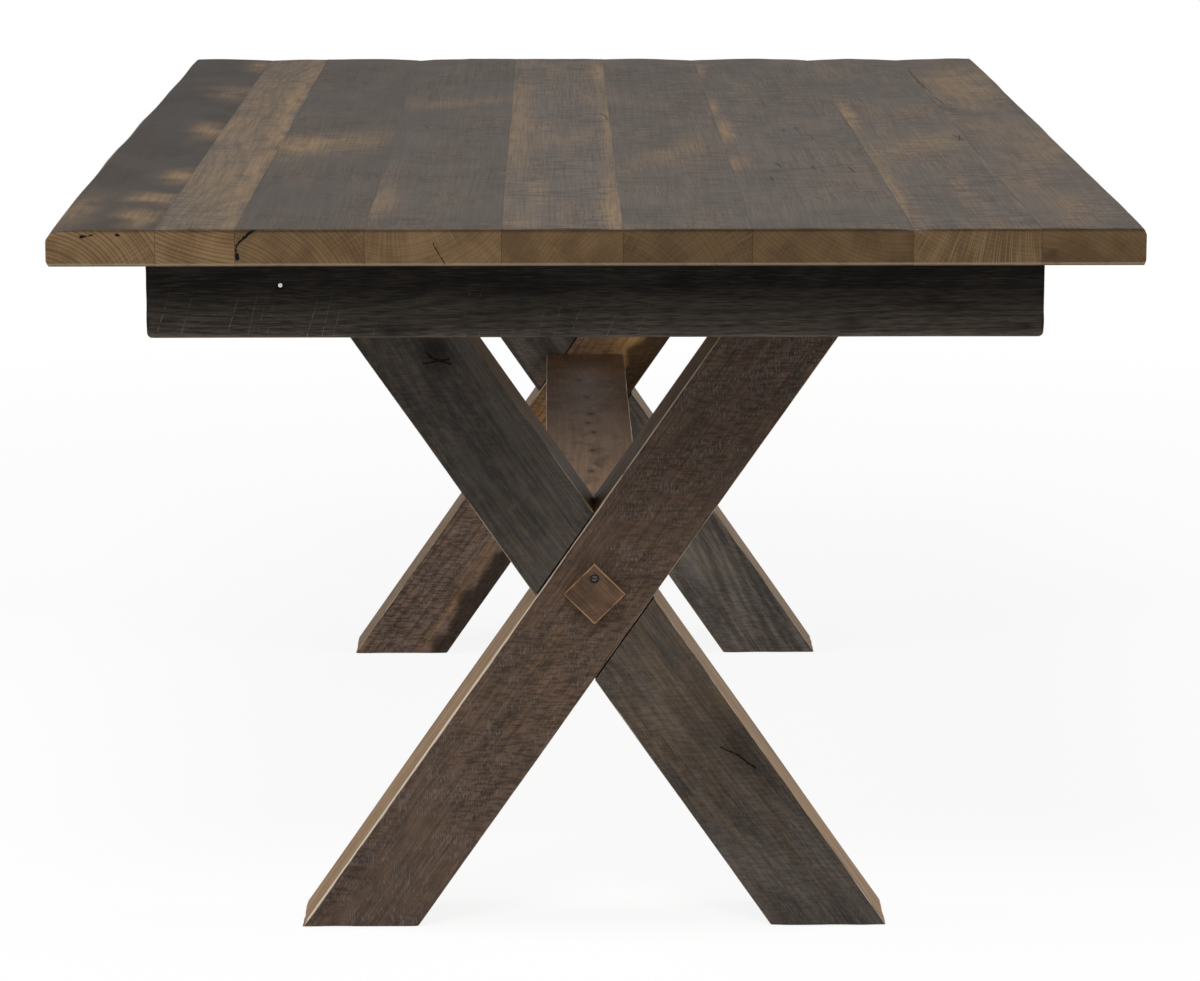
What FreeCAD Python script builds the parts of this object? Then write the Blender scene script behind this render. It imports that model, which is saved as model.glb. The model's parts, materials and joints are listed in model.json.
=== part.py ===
import FreeCAD, Part
import math
import os

from FreeCAD import Placement, Rotation, Vector

# A sawbuck table: nine edge-joined planks over an apron frame, carried by two X trestles
# that a stretcher ties together. +Z is up, +X runs across the table, +Y along it, and the
# origin is on the floor under the middle of the top. All lengths are in millimetres.

# The whole table
table_width = 1066.8
table_length = 1828.8
table_height = 762.0
top_thickness = 37.0

# Top planks, from left to right, and the loose splines in their joints
plank_width_shares = (0.101, 0.072, 0.117, 0.124, 0.110, 0.117, 0.146, 0.116, 0.097)
plank_ease = 1.2
spline_width = 24.0
spline_thickness = 6.0
spline_setback = 60.0
glue_gap = 0.2

# Apron boards
apron_overhang = 90.0
apron_height = 84.0
apron_thickness = 22.0
apron_round = 6.0
corner_block_leg = 70.0
corner_block_setback = 14.0
corner_screw_share = 0.62

# Steel clips between the apron and the top, with the groove that they hook into
clip_groove_drop = 11.0
clip_groove_height = 2.6
clip_groove_depth = 9.0
clip_sheet = 2.0
clip_width = 18.0
clip_tongue = 8.0
clip_riser_stand_off = 2.0
clip_flange = 26.0
side_clip_shares = (-0.8, -0.4, 0.0, 0.4, 0.8)
end_clip_shares = (-0.4, 0.4)

# Trestles: two legs each, halved together where they cross, under a bearer
trestle_setback = 222.0
leg_width = 100.0
leg_depth = 96.0
leg_lean = 34.84
bearer_thickness = 22.0
bearer_end_gap = 15.0
bearer_inner_screw_shares = (0.3, 0.89)
bearer_end_screw_shares = (0.2, 0.8)
lag_screw_inset = 20.0
lag_row_shares = (0.28, 0.72)

# Stretcher with a stub tenon at each end
stretcher_width = 102.0
stretcher_height = 102.0
tenon_width = 46.0
tenon_height = 46.0
tenon_length = 20.0
tenon_clearance = 0.5

# Bolt through each crossing into a barrel nut in the stretcher
bolt_diameter = 10.0
bolt_head_flats = 16.0
bolt_head_height = 6.4
bolt_clearance = 0.5
bolt_past_nut = 6.0
thread_clearance = 0.05
washer_diameter = 24.0
washer_thickness = 2.5
counterbore_diameter = 26.0
counterbore_depth = 20.0
nut_diameter = 16.0
nut_length = 28.0
nut_setback = 60.0
nut_clearance = 0.2

# Square bolt cover that hangs from one screw near its top corner
cover_side = 45.0
cover_thickness = 11.0
cover_ease = 1.6
cover_rise = 5.0
cover_screw_drop = 15.5
cover_gap = 0.3
cover_running_clearance = 0.06
cover_recess_depth = 5.0

# Screws, each with its shank, its head and how far it bites into the last piece
bearer_screw_diameter = 5.0
bearer_screw_head = 9.5
bearer_screw_bite = 14.0
lag_screw_diameter = 8.0
lag_screw_head = 15.0
lag_screw_bite = 65.0
corner_screw_diameter = 4.0
corner_screw_head = 8.0
corner_screw_bite = 14.0
corner_screw_reach = 20.0
clip_screw_diameter = 4.0
clip_screw_head = 8.0
clip_screw_head_height = 2.6
clip_screw_bite = 12.0
cover_screw_diameter = 4.5
cover_screw_head = 8.0
cover_screw_head_height = 3.0
cover_screw_bite = 22.0
slot_width = 1.2
slot_depth = 1.4
screw_clearance = 0.05

# Every cut runs this far past the face that it opens
overrun = 2.0

# Places that follow from the sizes above
half_width = table_width / 2
half_length = table_length / 2
top_underside = table_height - top_thickness
apron_x = half_width - apron_overhang
apron_y = half_length - apron_overhang
apron_bottom = top_underside - apron_height
leg_height = top_underside - bearer_thickness
crossing_height = leg_height / 2
leg_run = crossing_height * math.tan(math.radians(leg_lean))
leg_half_span = leg_width / math.cos(math.radians(leg_lean)) / 2
trestle_outer = half_length - trestle_setback
trestle_inner = trestle_outer - leg_depth
trestle_middle = trestle_outer - leg_depth / 2
bearer_half_length = apron_x - apron_thickness - bearer_end_gap

left, back, up = Vector(-1, 0, 0), Vector(0, 1, 0), Vector(0, 0, 1)


def block(x_low, x_high, y_low, y_high, z_low, z_high):
    """A squared block between two corners."""
    return Part.makeBox(x_high - x_low, y_high - y_low, z_high - z_low, Vector(x_low, y_low, z_low))


def prism(points, direction):
    """A closed outline of straight edges, carried along a direction."""
    return Part.Face(Part.makePolygon(points + points[:1])).extrude(direction)


def turned(profile, at, direction):
    """A profile of (radius, distance) points spun about a line from at towards direction."""
    points = [Vector(radius, 0, distance) for radius, distance in profile]
    solid = Part.makeSolid(Part.Face(Part.makePolygon(points + points[:1])).revolve(Vector(), up, 360))
    solid.Placement = Placement(at, Rotation(up, direction))
    return solid


def rod(diameter, start, direction, length):
    """A plain round rod or hole."""
    return Part.makeCylinder(diameter / 2, length, start, direction)


def half_turn(shape):
    """The same piece at the other end of the table."""
    copy = shape.copy()
    copy.rotate(Vector(), up, 180)
    return copy


def without(shape, tools):
    """A shape with every tool that reaches it cut away."""
    near = [tool for tool in tools if tool.BoundBox.intersect(shape.BoundBox)]
    return shape.cut(near) if near else shape


def save(name, shapes):
    """One file for a piece, or for a group of separate pieces that are alike."""
    solids = [solid for shape in shapes for solid in shape.Solids]
    piece = solids[0] if len(solids) == 1 else Part.makeCompound(solids)
    piece.exportStep(os.path.join("parts", name + ".step"))
    print(name, len(solids), "solid(s),", round(sum(solid.Volume for solid in solids)), "mm3")


def flat_head_screw(diameter, head, length, at, direction):
    """A countersunk wood screw with a slot, its head flush at the point at."""
    sink = (head - diameter) / 2
    profile = [(0, 0), (head / 2, 0), (diameter / 2, sink), (diameter / 2, length - diameter), (0, length)]
    return turned(profile, at, direction).cut(slot(head, at, direction))


def flat_head_hole(diameter, head, length, at, direction):
    """The countersunk hole that a flat head screw sits in."""
    sink = (head - diameter) / 2
    outer, bore = head / 2 + screw_clearance, diameter / 2 + screw_clearance
    profile = [(0, -overrun), (outer, -overrun), (outer, 0), (bore, sink), (bore, length), (0, length)]
    return turned(profile, at, direction)


def pan_head_screw(diameter, head, head_height, length, at, direction):
    """A screw whose head stands on the work at the point at, with a slot across the head."""
    crown = head_height / 2
    profile = [(0, -head_height), (head / 2 - crown / 2, -head_height), (head / 2, -crown), (head / 2, 0)]
    profile += [(diameter / 2, 0), (diameter / 2, length - diameter), (0, length)]
    return turned(profile, at, direction).cut(slot(head, at - direction * head_height, direction))


def slot(head, at, direction):
    """The driver slot in a screw's head, cut from its outer face."""
    cutter = block(-head, head, -slot_width / 2, slot_width / 2, -overrun, slot_depth)
    cutter.Placement = Placement(at, Rotation(up, direction))
    return cutter


def apron_section():
    """The apron's cross section, outer face at y = 0, with its rounded lower edge and clip groove."""
    groove_top = top_underside - clip_groove_drop
    groove_bottom = groove_top - clip_groove_height
    groove_floor = apron_thickness - clip_groove_depth
    bend = apron_round * (1 - math.sqrt(0.5))
    start = Vector(0, 0, apron_bottom + apron_round)
    end = Vector(0, apron_round, apron_bottom)
    edges = [Part.Arc(start, Vector(0, bend, apron_bottom + bend), end).toShape()]
    corners = [end, Vector(0, apron_thickness, apron_bottom), Vector(0, apron_thickness, groove_bottom)]
    corners += [Vector(0, groove_floor, groove_bottom), Vector(0, groove_floor, groove_top)]
    corners += [Vector(0, apron_thickness, groove_top), Vector(0, apron_thickness, top_underside)]
    corners += [Vector(0, 0, top_underside), start]
    edges += Part.makePolygon(corners).Edges
    return Part.Face(Part.Wire(edges))


def apron_board(half_reach, distance, turn):
    """One mitred apron board, half_reach to each side, its outer face at a distance from the centre."""
    board = apron_section()
    board.translate(Vector(-half_reach, 0, 0))
    board = board.extrude(Vector(2 * half_reach, 0, 0))
    for side in (-1, 1):
        mitre = [Vector(side * half_reach, 0, apron_bottom - overrun)]
        mitre += [Vector(side * (half_reach + overrun), 0, apron_bottom - overrun)]
        mitre += [Vector(side * (half_reach + overrun), apron_thickness + overrun, apron_bottom - overrun)]
        mitre += [Vector(side * (half_reach - apron_thickness - overrun), apron_thickness + overrun,
                         apron_bottom - overrun)]
        board = board.cut(prism(mitre, up * (apron_height + 2 * overrun)))
    board.translate(Vector(0, -distance, 0))
    board.rotate(Vector(), up, turn)
    return board


def clip(along, distance, turn):
    """A Z-shaped clip with its tongue in the apron's groove and its flange under the top."""
    tongue_top = top_underside - clip_groove_drop
    inner = -distance + apron_thickness
    riser = inner + clip_riser_stand_off
    x = along - clip_width / 2
    outline = [Vector(x, inner - clip_tongue, tongue_top), Vector(x, riser, tongue_top)]
    outline += [Vector(x, riser, top_underside), Vector(x, riser + clip_flange, top_underside)]
    outline += [Vector(x, riser + clip_flange, top_underside - clip_sheet)]
    outline += [Vector(x, riser + clip_sheet, top_underside - clip_sheet)]
    outline += [Vector(x, riser + clip_sheet, tongue_top - clip_sheet)]
    outline += [Vector(x, inner - clip_tongue, tongue_top - clip_sheet)]
    bent = prism(outline, Vector(clip_width, 0, 0))
    seat = Vector(along, riser + (clip_sheet + clip_flange) / 2, top_underside - clip_sheet)
    hole = rod(clip_screw_diameter + 2 * screw_clearance, seat - up * overrun, up,
               clip_sheet + clip_screw_bite + overrun)
    screw = pan_head_screw(clip_screw_diameter, clip_screw_head, clip_screw_head_height,
                           clip_sheet + clip_screw_bite, seat, up)
    pieces = [bent.cut(hole), screw, hole]
    for piece in pieces:
        piece.rotate(Vector(), up, turn)
    return pieces


def corner_block(side, end):
    """A glue block in one corner of the apron, with a screw into each of its two boards."""
    low = apron_bottom + corner_block_setback
    high = top_underside - corner_block_setback
    corner_x = side * (apron_x - apron_thickness)
    corner_y = end * (apron_y - apron_thickness)
    points = [Vector(corner_x, corner_y, low), Vector(corner_x - side * corner_block_leg, corner_y, low)]
    points += [Vector(corner_x, corner_y - end * corner_block_leg, low)]
    wood = prism(points, up * (high - low))
    along = corner_screw_share * corner_block_leg
    middle = (low + high) / 2
    spots = [(Vector(corner_x - side * along, corner_y - end * corner_screw_reach, middle), back * end)]
    spots += [(Vector(corner_x - side * corner_screw_reach, corner_y - end * along, middle), left * -side)]
    length = corner_screw_reach + corner_screw_bite
    screws = [flat_head_screw(corner_screw_diameter, corner_screw_head, length, *spot) for spot in spots]
    holes = [flat_head_hole(corner_screw_diameter, corner_screw_head, length, *spot) for spot in spots]
    wells = [rod(corner_screw_head + 2 * screw_clearance, at, direction * -1, corner_block_leg)
             for at, direction in spots]
    return wood.cut(holes + wells), screws, holes


def leg(lean_side):
    """A leg of the front trestle before it is halved, its head leaning to one side."""
    foot, head = -lean_side * leg_run, lean_side * leg_run
    corners = [Vector(foot - leg_half_span, -trestle_outer, 0)]
    corners += [Vector(foot + leg_half_span, -trestle_outer, 0)]
    corners += [Vector(head + leg_half_span, -trestle_outer, leg_height)]
    corners += [Vector(head - leg_half_span, -trestle_outer, leg_height)]
    return prism(corners, back * leg_depth)


def bolt_parts(crossing):
    """The hex bolt, its washer and its barrel nut at the front crossing, and the holes for them."""
    seat = crossing + back * counterbore_depth
    head_top = seat - back * (washer_thickness + bolt_head_height)
    shank_length = leg_depth - counterbore_depth + nut_setback + nut_diameter / 2 + bolt_past_nut
    radius = bolt_head_flats / math.sqrt(3)
    hexagon = [Vector(radius * math.cos(math.radians(60 * k)), 0, radius * math.sin(math.radians(60 * k)))
               for k in range(6)]
    head = prism([head_top + corner for corner in hexagon], back * bolt_head_height)
    shank = rod(bolt_diameter, seat - back * washer_thickness, back, shank_length + washer_thickness)
    bolt = head.fuse(shank)
    bore = rod(bolt_diameter + 2 * bolt_clearance, crossing - back * overrun, back,
               counterbore_depth + shank_length + bolt_past_nut + overrun)
    washer = rod(washer_diameter, seat - back * washer_thickness, back, washer_thickness).cut(bore)
    nut_centre = crossing + back * (leg_depth + nut_setback)
    nut = rod(nut_diameter, nut_centre - up * nut_length / 2, up, nut_length)
    nut = nut.cut(rod(bolt_diameter + 2 * thread_clearance, nut_centre - back * nut_diameter, back,
                      2 * nut_diameter))
    nut_hole = rod(nut_diameter + 2 * nut_clearance, nut_centre - up * stretcher_height, up,
                   stretcher_height + nut_length / 2)
    well = rod(counterbore_diameter, crossing - back * overrun, back, counterbore_depth + overrun)
    return bolt, washer, nut, bore, nut_hole, well


def bolt_cover(crossing):
    """The square cover over the front bolt, its screw, and the pilot hole for that screw."""
    half_diagonal = cover_side / math.sqrt(2)
    middle = crossing + up * cover_rise - back * (cover_gap + cover_thickness)
    square = [middle + up * half_diagonal, middle - left * half_diagonal]
    square += [middle - up * half_diagonal, middle + left * half_diagonal]
    plate = prism(square, back * cover_thickness)
    front_edges = [edge for edge in plate.Edges if abs(edge.BoundBox.YMax - middle.y) < cover_gap]
    plate = plate.makeChamfer(cover_ease, front_edges)
    front = middle + up * (half_diagonal - cover_screw_drop)
    recess = rod(cover_screw_head + 2 * cover_gap, front - back * overrun, back, cover_recess_depth + overrun)
    pivot = rod(cover_screw_diameter + 2 * cover_running_clearance, front, back, cover_thickness + overrun)
    seat = front + back * (cover_recess_depth - cover_gap)
    length = cover_thickness - cover_recess_depth + 2 * cover_gap + cover_screw_bite
    screw = pan_head_screw(cover_screw_diameter, cover_screw_head, cover_screw_head_height, length,
                           seat, back)
    pilot = rod(cover_screw_diameter + 2 * screw_clearance, seat, back, length)
    return plate.cut([recess, pivot]), screw, pilot


os.makedirs("parts", exist_ok=True)

# Front trestle: the leg that rises to the right is whole on the outer face
front_crossing = Vector(0, -trestle_outer, crossing_height)
bolt, washer, nut, bolt_bore, nut_hole, bolt_well = bolt_parts(front_crossing)
cover, cover_screw, cover_pilot = bolt_cover(front_crossing)
outer_leg, inner_leg = leg(1), leg(-1)
lap = outer_leg.common(inner_leg)
outer_half = block(-half_width, half_width, -trestle_outer, -trestle_middle, 0, leg_height)
inner_half = block(-half_width, half_width, -trestle_middle, -trestle_inner, 0, leg_height)
tenon_hole = block(-tenon_width / 2 - tenon_clearance, tenon_width / 2 + tenon_clearance,
                   -trestle_inner - tenon_length - tenon_clearance, -trestle_inner,
                   crossing_height - tenon_height / 2 - tenon_clearance,
                   crossing_height + tenon_height / 2 + tenon_clearance)

# Screws through the bearer, down into the legs and up into the planks
lag_length = bearer_thickness + lag_screw_bite
lag_spots = [Vector(side * (leg_run - lag_screw_inset), -trestle_outer + share * leg_depth, top_underside)
             for side in (-1, 1) for share in lag_row_shares]
lag_screws = [flat_head_screw(lag_screw_diameter, lag_screw_head, lag_length, at, -up) for at in lag_spots]
lag_holes = [flat_head_hole(lag_screw_diameter, lag_screw_head, lag_length, at, -up) for at in lag_spots]
bearer_screw_length = bearer_thickness + bearer_screw_bite
head_inner, head_outer = leg_run - leg_half_span, leg_run + leg_half_span
bearer_screw_reaches = [share * head_inner for share in bearer_inner_screw_shares]
bearer_screw_reaches += [head_outer + share * (bearer_half_length - head_outer)
                         for share in bearer_end_screw_shares]
bearer_spots = [Vector(side * reach, -trestle_middle, leg_height)
                for side in (-1, 1) for reach in bearer_screw_reaches]
bearer_screws = [flat_head_screw(bearer_screw_diameter, bearer_screw_head, bearer_screw_length, at, up)
                 for at in bearer_spots]
bearer_holes = [flat_head_hole(bearer_screw_diameter, bearer_screw_head, bearer_screw_length, at, up)
                for at in bearer_spots]

bearer = block(-bearer_half_length, bearer_half_length, -trestle_outer, -trestle_inner,
               leg_height, top_underside)
bearer = without(bearer, lag_holes + bearer_holes)
outer_leg = without(outer_leg, [lap.common(inner_half), bolt_bore, bolt_well, cover_pilot] + lag_holes)
inner_leg = without(inner_leg, [lap.common(outer_half), bolt_bore, tenon_hole] + lag_holes)

trestle_pieces = (("outer_leg", outer_leg), ("inner_leg", inner_leg),
                  ("bearer", bearer), ("bolt_cover", cover))
for name, piece in trestle_pieces:
    save("front_" + name, [piece])
    save("rear_" + name, [half_turn(piece)])
trestle_fasteners = (("lag_screws", lag_screws), ("bearer_screws", bearer_screws),
                     ("cover_screws", [cover_screw]), ("stretcher_bolts", [bolt]),
                     ("bolt_washers", [washer]), ("barrel_nuts", [nut]))
for name, pieces in trestle_fasteners:
    save(name, pieces + [half_turn(piece) for piece in pieces])

# Stretcher between the two crossings
stretcher = block(-stretcher_width / 2, stretcher_width / 2, -trestle_inner, trestle_inner,
                  crossing_height - stretcher_height / 2, crossing_height + stretcher_height / 2)
tenon_reach = trestle_inner + tenon_length
tenons = block(-tenon_width / 2, tenon_width / 2, -tenon_reach, tenon_reach,
               crossing_height - tenon_height / 2, crossing_height + tenon_height / 2)
stretcher_cuts = [bolt_bore, nut_hole, half_turn(bolt_bore), half_turn(nut_hole)]
save("stretcher", [stretcher.fuse(tenons).removeSplitter().cut(stretcher_cuts)])

# Apron frame with its corner blocks and clips
apron_boards = {"front_apron": apron_board(apron_x, apron_y, 0),
                "right_apron": apron_board(apron_y, apron_x, 90),
                "rear_apron": apron_board(apron_x, apron_y, 180),
                "left_apron": apron_board(apron_y, apron_x, 270)}
corner_screws, corner_holes = [], []
for end_name, end in (("front", -1), ("rear", 1)):
    for side_name, side in (("left", -1), ("right", 1)):
        wood, screws, holes = corner_block(side, end)
        save(end_name + "_" + side_name + "_corner_block", [wood])
        corner_screws += screws
        corner_holes += holes
save("corner_block_screws", corner_screws)
for name, board in apron_boards.items():
    save(name, [without(board, corner_holes)])

clip_sets = [clip(share * apron_x, apron_y, turn) for turn in (0, 180) for share in end_clip_shares]
clip_sets += [clip(share * trestle_inner, apron_x, turn) for turn in (90, 270) for share in side_clip_shares]
save("top_clips", [pieces[0] for pieces in clip_sets])
save("clip_screws", [pieces[1] for pieces in clip_sets])

# Top planks, grooved for the splines and drilled for the screws that hold them
screw_holes = [pieces[2] for pieces in clip_sets] + bearer_holes + [half_turn(hole) for hole in bearer_holes]
spline_middle = top_underside + top_thickness / 2
spline_low, spline_high = spline_middle - spline_thickness / 2, spline_middle + spline_thickness / 2
spline_end = half_length - spline_setback
plank_edges = [-half_width]
for share in plank_width_shares:
    plank_edges.append(plank_edges[-1] + share / sum(plank_width_shares) * table_width)
joints = plank_edges[1:-1]
grooves = [block(x - spline_width / 2 - glue_gap, x + spline_width / 2 + glue_gap, -spline_end, spline_end,
                 spline_low, spline_high) for x in joints]
splines = [block(x - spline_width / 2, x + spline_width / 2, -spline_end, spline_end, spline_low, spline_high)
           for x in joints]
save("top_splines", splines)
for number, (x_low, x_high) in enumerate(zip(plank_edges, plank_edges[1:]), 1):
    outline = [Vector(x_low, -half_length, top_underside), Vector(x_high, -half_length, top_underside)]
    outline += [Vector(x_high, -half_length, table_height - plank_ease)]
    outline += [Vector(x_high - plank_ease, -half_length, table_height)]
    outline += [Vector(x_low + plank_ease, -half_length, table_height)]
    outline += [Vector(x_low, -half_length, table_height - plank_ease)]
    plank = prism(outline, back * table_length)
    save("top_plank_" + str(number), [without(plank, grooves + screw_holes)])
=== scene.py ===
# %% [markdown]
# A sawbuck table of old sawn oak: nine planks edge to edge, an apron frame under them, two X-shaped
# trestles and a stretcher between their crossings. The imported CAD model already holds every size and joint,
# so it is loaded first and never moved. This lesson lays worn, grainy timber over its plain solids.

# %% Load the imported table
import json
import math
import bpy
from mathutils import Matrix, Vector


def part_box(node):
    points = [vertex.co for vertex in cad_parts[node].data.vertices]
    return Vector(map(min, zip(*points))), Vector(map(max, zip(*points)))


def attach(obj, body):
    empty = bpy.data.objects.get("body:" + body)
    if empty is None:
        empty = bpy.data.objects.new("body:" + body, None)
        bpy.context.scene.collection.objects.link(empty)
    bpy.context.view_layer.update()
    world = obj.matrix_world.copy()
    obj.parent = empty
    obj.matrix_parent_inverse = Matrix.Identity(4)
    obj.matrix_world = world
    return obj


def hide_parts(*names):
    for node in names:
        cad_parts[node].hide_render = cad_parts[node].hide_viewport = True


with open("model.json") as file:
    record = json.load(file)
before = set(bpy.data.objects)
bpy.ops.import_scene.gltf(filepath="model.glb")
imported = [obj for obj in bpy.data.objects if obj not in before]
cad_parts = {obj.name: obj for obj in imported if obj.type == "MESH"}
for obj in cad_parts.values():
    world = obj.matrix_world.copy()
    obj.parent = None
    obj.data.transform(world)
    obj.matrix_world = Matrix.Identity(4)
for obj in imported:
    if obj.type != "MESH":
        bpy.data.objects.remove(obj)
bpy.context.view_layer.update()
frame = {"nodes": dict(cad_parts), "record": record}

from types import SimpleNamespace

import bpy
import numpy as np
from mathutils import Vector

# %% [markdown]
# The table was photographed from half a metre above its top, looking down its length with a long lens.
# The camera's place and turn were worked out from the photo's straight edges, so no lens shift is needed.

# %% Camera
# Millimetres in the camera, metres in the room, and radians
sensor_width = 36.0
lens_length = 133.04
camera_place = Vector((-0.0426, -5.1593, 1.3054))
look_down = 0.1864
look_right = 0.0108

camera = bpy.data.objects.new("camera", bpy.data.cameras.new("camera"))
level = math.cos(look_down)
sight = Vector((math.sin(look_right) * level, math.cos(look_right) * level, -math.sin(look_down)))
camera.data.sensor_width = sensor_width
camera.data.lens = lens_length
camera.location = camera_place
camera.rotation_euler = sight.to_track_quat("-Z", "Y").to_euler()
bpy.context.collection.objects.link(camera)
bpy.context.scene.camera = camera
print("camera looks along", tuple(round(s, 3) for s in sight))

# %% [markdown]
# Colours are written as the hex values that a picture editor shows. Blender's shaders work in linear light,
# so one function turns a hex value to linear. A second small function adds a node to a material, with its
# settings and links, and a third makes a bare material. Every finish below is built with these.

# %% Colour and node helpers
def linear(hex_colour):
    """Linear red, green, blue and alpha of an sRGB hex colour: a share s becomes
    ((s + 0.055) / 1.055) ** 2.4, or s / 12.92 when it is dark."""
    shares = np.array([int(hex_colour[k:k + 2], 16) for k in (1, 3, 5)]) / 255
    light = np.where(shares > 0.04045, ((shares + 0.055) / 1.055) ** 2.4, shares / 12.92)
    return (*light.tolist(), 1.0)


def put(tree, kind, sockets, out=0, **settings):
    """Adds one node, changes its settings, and fills each socket with a number or a hex colour or links it
    to another node's output. Returns one of its outputs."""
    node = tree.nodes.new("ShaderNode" + kind)
    for name, value in settings.items():
        setattr(node, name, value)
    for name, value in sockets.items():
        if isinstance(value, bpy.types.NodeSocket):
            tree.links.new(value, node.inputs[name])
        else:
            node.inputs[name].default_value = linear(value) if isinstance(value, str) else value
    return node.outputs[out]


def bare_finish(name):
    """A new material, its node tree and its shader."""
    material = bpy.data.materials.new(name)
    material.use_nodes = True
    return material, material.node_tree, material.node_tree.nodes["Principled BSDF"]


# %% [markdown]
# The studio is a white floor that runs out to a white surround. A camera ray sees the floor mostly as plain
# white, so the ground of the picture stays white, and partly as matt paper, so the table keeps its soft
# shadow. Farther out, where no shadow falls, it is wholly white. From below the floor is clear, so that the
# underside can be looked at too.

# %% Floor
floor_reach = 30.0
floor_drop = 0.0005
floor_white = "#ececea"
shadow_white = "#ffffff"
floor_glow = 0.88
shadow_reach = (1.2, 3.4)


def straight_rays(tree):
    """1 for rays that reach the eye straight, by a mirror or through glass, and 0 for all others."""
    share = put(tree, "LightPath", {}, "Is Camera Ray")
    for kind in ("Is Glossy Ray", "Is Transmission Ray"):
        share = put(tree, "Math", {0: share, 1: put(tree, "LightPath", {}, kind)}, operation="MAXIMUM")
    return share


across, along = np.meshgrid((-floor_reach, floor_reach), (-floor_reach, floor_reach))
corners = np.stack([across, along, np.full_like(across, -floor_drop)], -1).reshape(-1, 3)
floor_mesh = bpy.data.meshes.new("studio_floor")
floor_mesh.from_pydata(corners, [], [(0, 1, 3, 2)])
floor = bpy.data.objects.new("studio_floor", floor_mesh)
bpy.context.collection.objects.link(floor)

paper, tree, shader = bare_finish("matt_white_paper")
tree.nodes.remove(shader)
matt = put(tree, "BsdfDiffuse", {"Color": floor_white})
far = put(tree, "VectorMath", {0: put(tree, "TexCoord", {}, "Object")}, "Value", operation="LENGTH")
glow = put(tree, "MapRange", {"Value": far, "From Min": shadow_reach[0], "From Max": shadow_reach[1],
                              "To Min": floor_glow, "To Max": 1.0})
lifted = put(tree, "MixShader", {0: glow, 1: put(tree, "BsdfDiffuse", {"Color": shadow_white}),
                                 2: put(tree, "Emission", {"Strength": 1.0})})
top_side = put(tree, "MixShader", {0: straight_rays(tree), 1: matt, 2: lifted})
from_below = put(tree, "NewGeometry", {}, "Backfacing")
both_sides = put(tree, "MixShader", {0: from_below, 1: top_side, 2: put(tree, "BsdfTransparent", {})})
tree.links.new(both_sides, tree.nodes["Material Output"].inputs["Surface"])
floor_mesh.materials.append(paper)
print("floor of", 2 * floor_reach, "m in", paper.name)

# %% [markdown]
# The surround fills the shadows from all sides. An image of a studio would do the same, but the photo shows
# plain white. Rays that come to the eye see it at full white, and rays that only light see it dim, so that
# the softboxes give the table its form.

# %% Surround
surround_light = 0.21

world = bpy.data.worlds.new("white_surround")
world.use_nodes = True
bpy.context.scene.world = world
tree = world.node_tree
soft = put(tree, "Background", {"Color": shadow_white, "Strength": surround_light})
white = put(tree, "Background", {"Color": shadow_white, "Strength": 1.0})
surround = put(tree, "MixShader", {0: straight_rays(tree), 1: soft, 2: white})
tree.links.new(surround, tree.nodes["World Output"].inputs["Surface"])
print("surround lights at", surround_light)

# %% [markdown]
# Five softboxes light the table. The one in front hangs high, so that the top throws its shadow on the
# apron and the upper legs, as in the photo. The ones at the sides brighten the upper edges of the slanting
# legs, and two low ones reach under the top to the rear trestle. Each is an area lamp that the camera
# itself does not see.

# %% Softboxes
def softbox(name, place, aim, size, watts):
    """An area lamp of that size at place, turned to face aim."""
    lamp = bpy.data.lights.new(name, "AREA")
    lamp.shape = "RECTANGLE"
    lamp.size, lamp.size_y = size
    lamp.energy = watts
    box = bpy.data.objects.new(name, lamp)
    box.location = place
    box.rotation_euler = (Vector(aim) - Vector(place)).to_track_quat("-Z", "Y").to_euler()
    box.visible_camera = False
    bpy.context.collection.objects.link(box)


softbox("left_softbox", (-3.2, -0.5, 2.6), (0, 0.1, 0.45), (2.0, 2.0), 54)
softbox("right_softbox", (3.2, -0.3, 2.6), (0, 0.1, 0.45), (2.0, 2.0), 45)
softbox("low_left_softbox", (-2.6, -0.5, 0.8), (0, 0.6, 0.25), (1.0, 0.8), 16)
softbox("low_right_softbox", (2.6, -0.5, 0.8), (0, 0.6, 0.25), (1.0, 0.8), 16)
softbox("front_softbox", (-0.6, -3.2, 4.2), (0, 0.1, 0.4), (2.0, 1.4), 112)
bpy.context.scene.view_settings.view_transform = "Standard"

# %% [markdown]
# All the timber here is one kind of shape: a rectangle with softly rounded arrises, carried along the
# grain. A cube with a Bevel modifier would come close, but then the grain could not know where along,
# across and through the wood a point lies. So each length is worked out as a grid of points, one row for
# each station. Years of use left no face quite flat, so the first helper gives a smooth random height.

# %% Smooth random wear
wave_count = 8


def wander(points, wavelength, seed):
    """A smooth random height: twice the mean of a few cosine waves, cut off at -1 and 1. Their directions
    and starts are drawn from the seed, and each is about one wavelength long. The wavelength is one number,
    or one for each axis."""
    draw = np.random.default_rng(seed)
    waves = draw.normal(size=(wave_count, 3)) / np.broadcast_to(wavelength, 3)
    starts = draw.uniform(0, 2 * np.pi, wave_count)
    return np.clip(2 * np.cos(2 * np.pi * points @ waves.T + starts).mean(-1), -1, 1)


# %% [markdown]
# The section is a rectangle whose corners are quarter circles. A curve could be swept instead, but it would
# spread its points evenly, and wear shows most at the arrises. So the walk round the section crowds its
# points there.

# %% Walk round the section
corner_signs = np.array([(-1, 1), (1, 1), (1, -1), (-1, -1)])
arris_steps = 4


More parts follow.
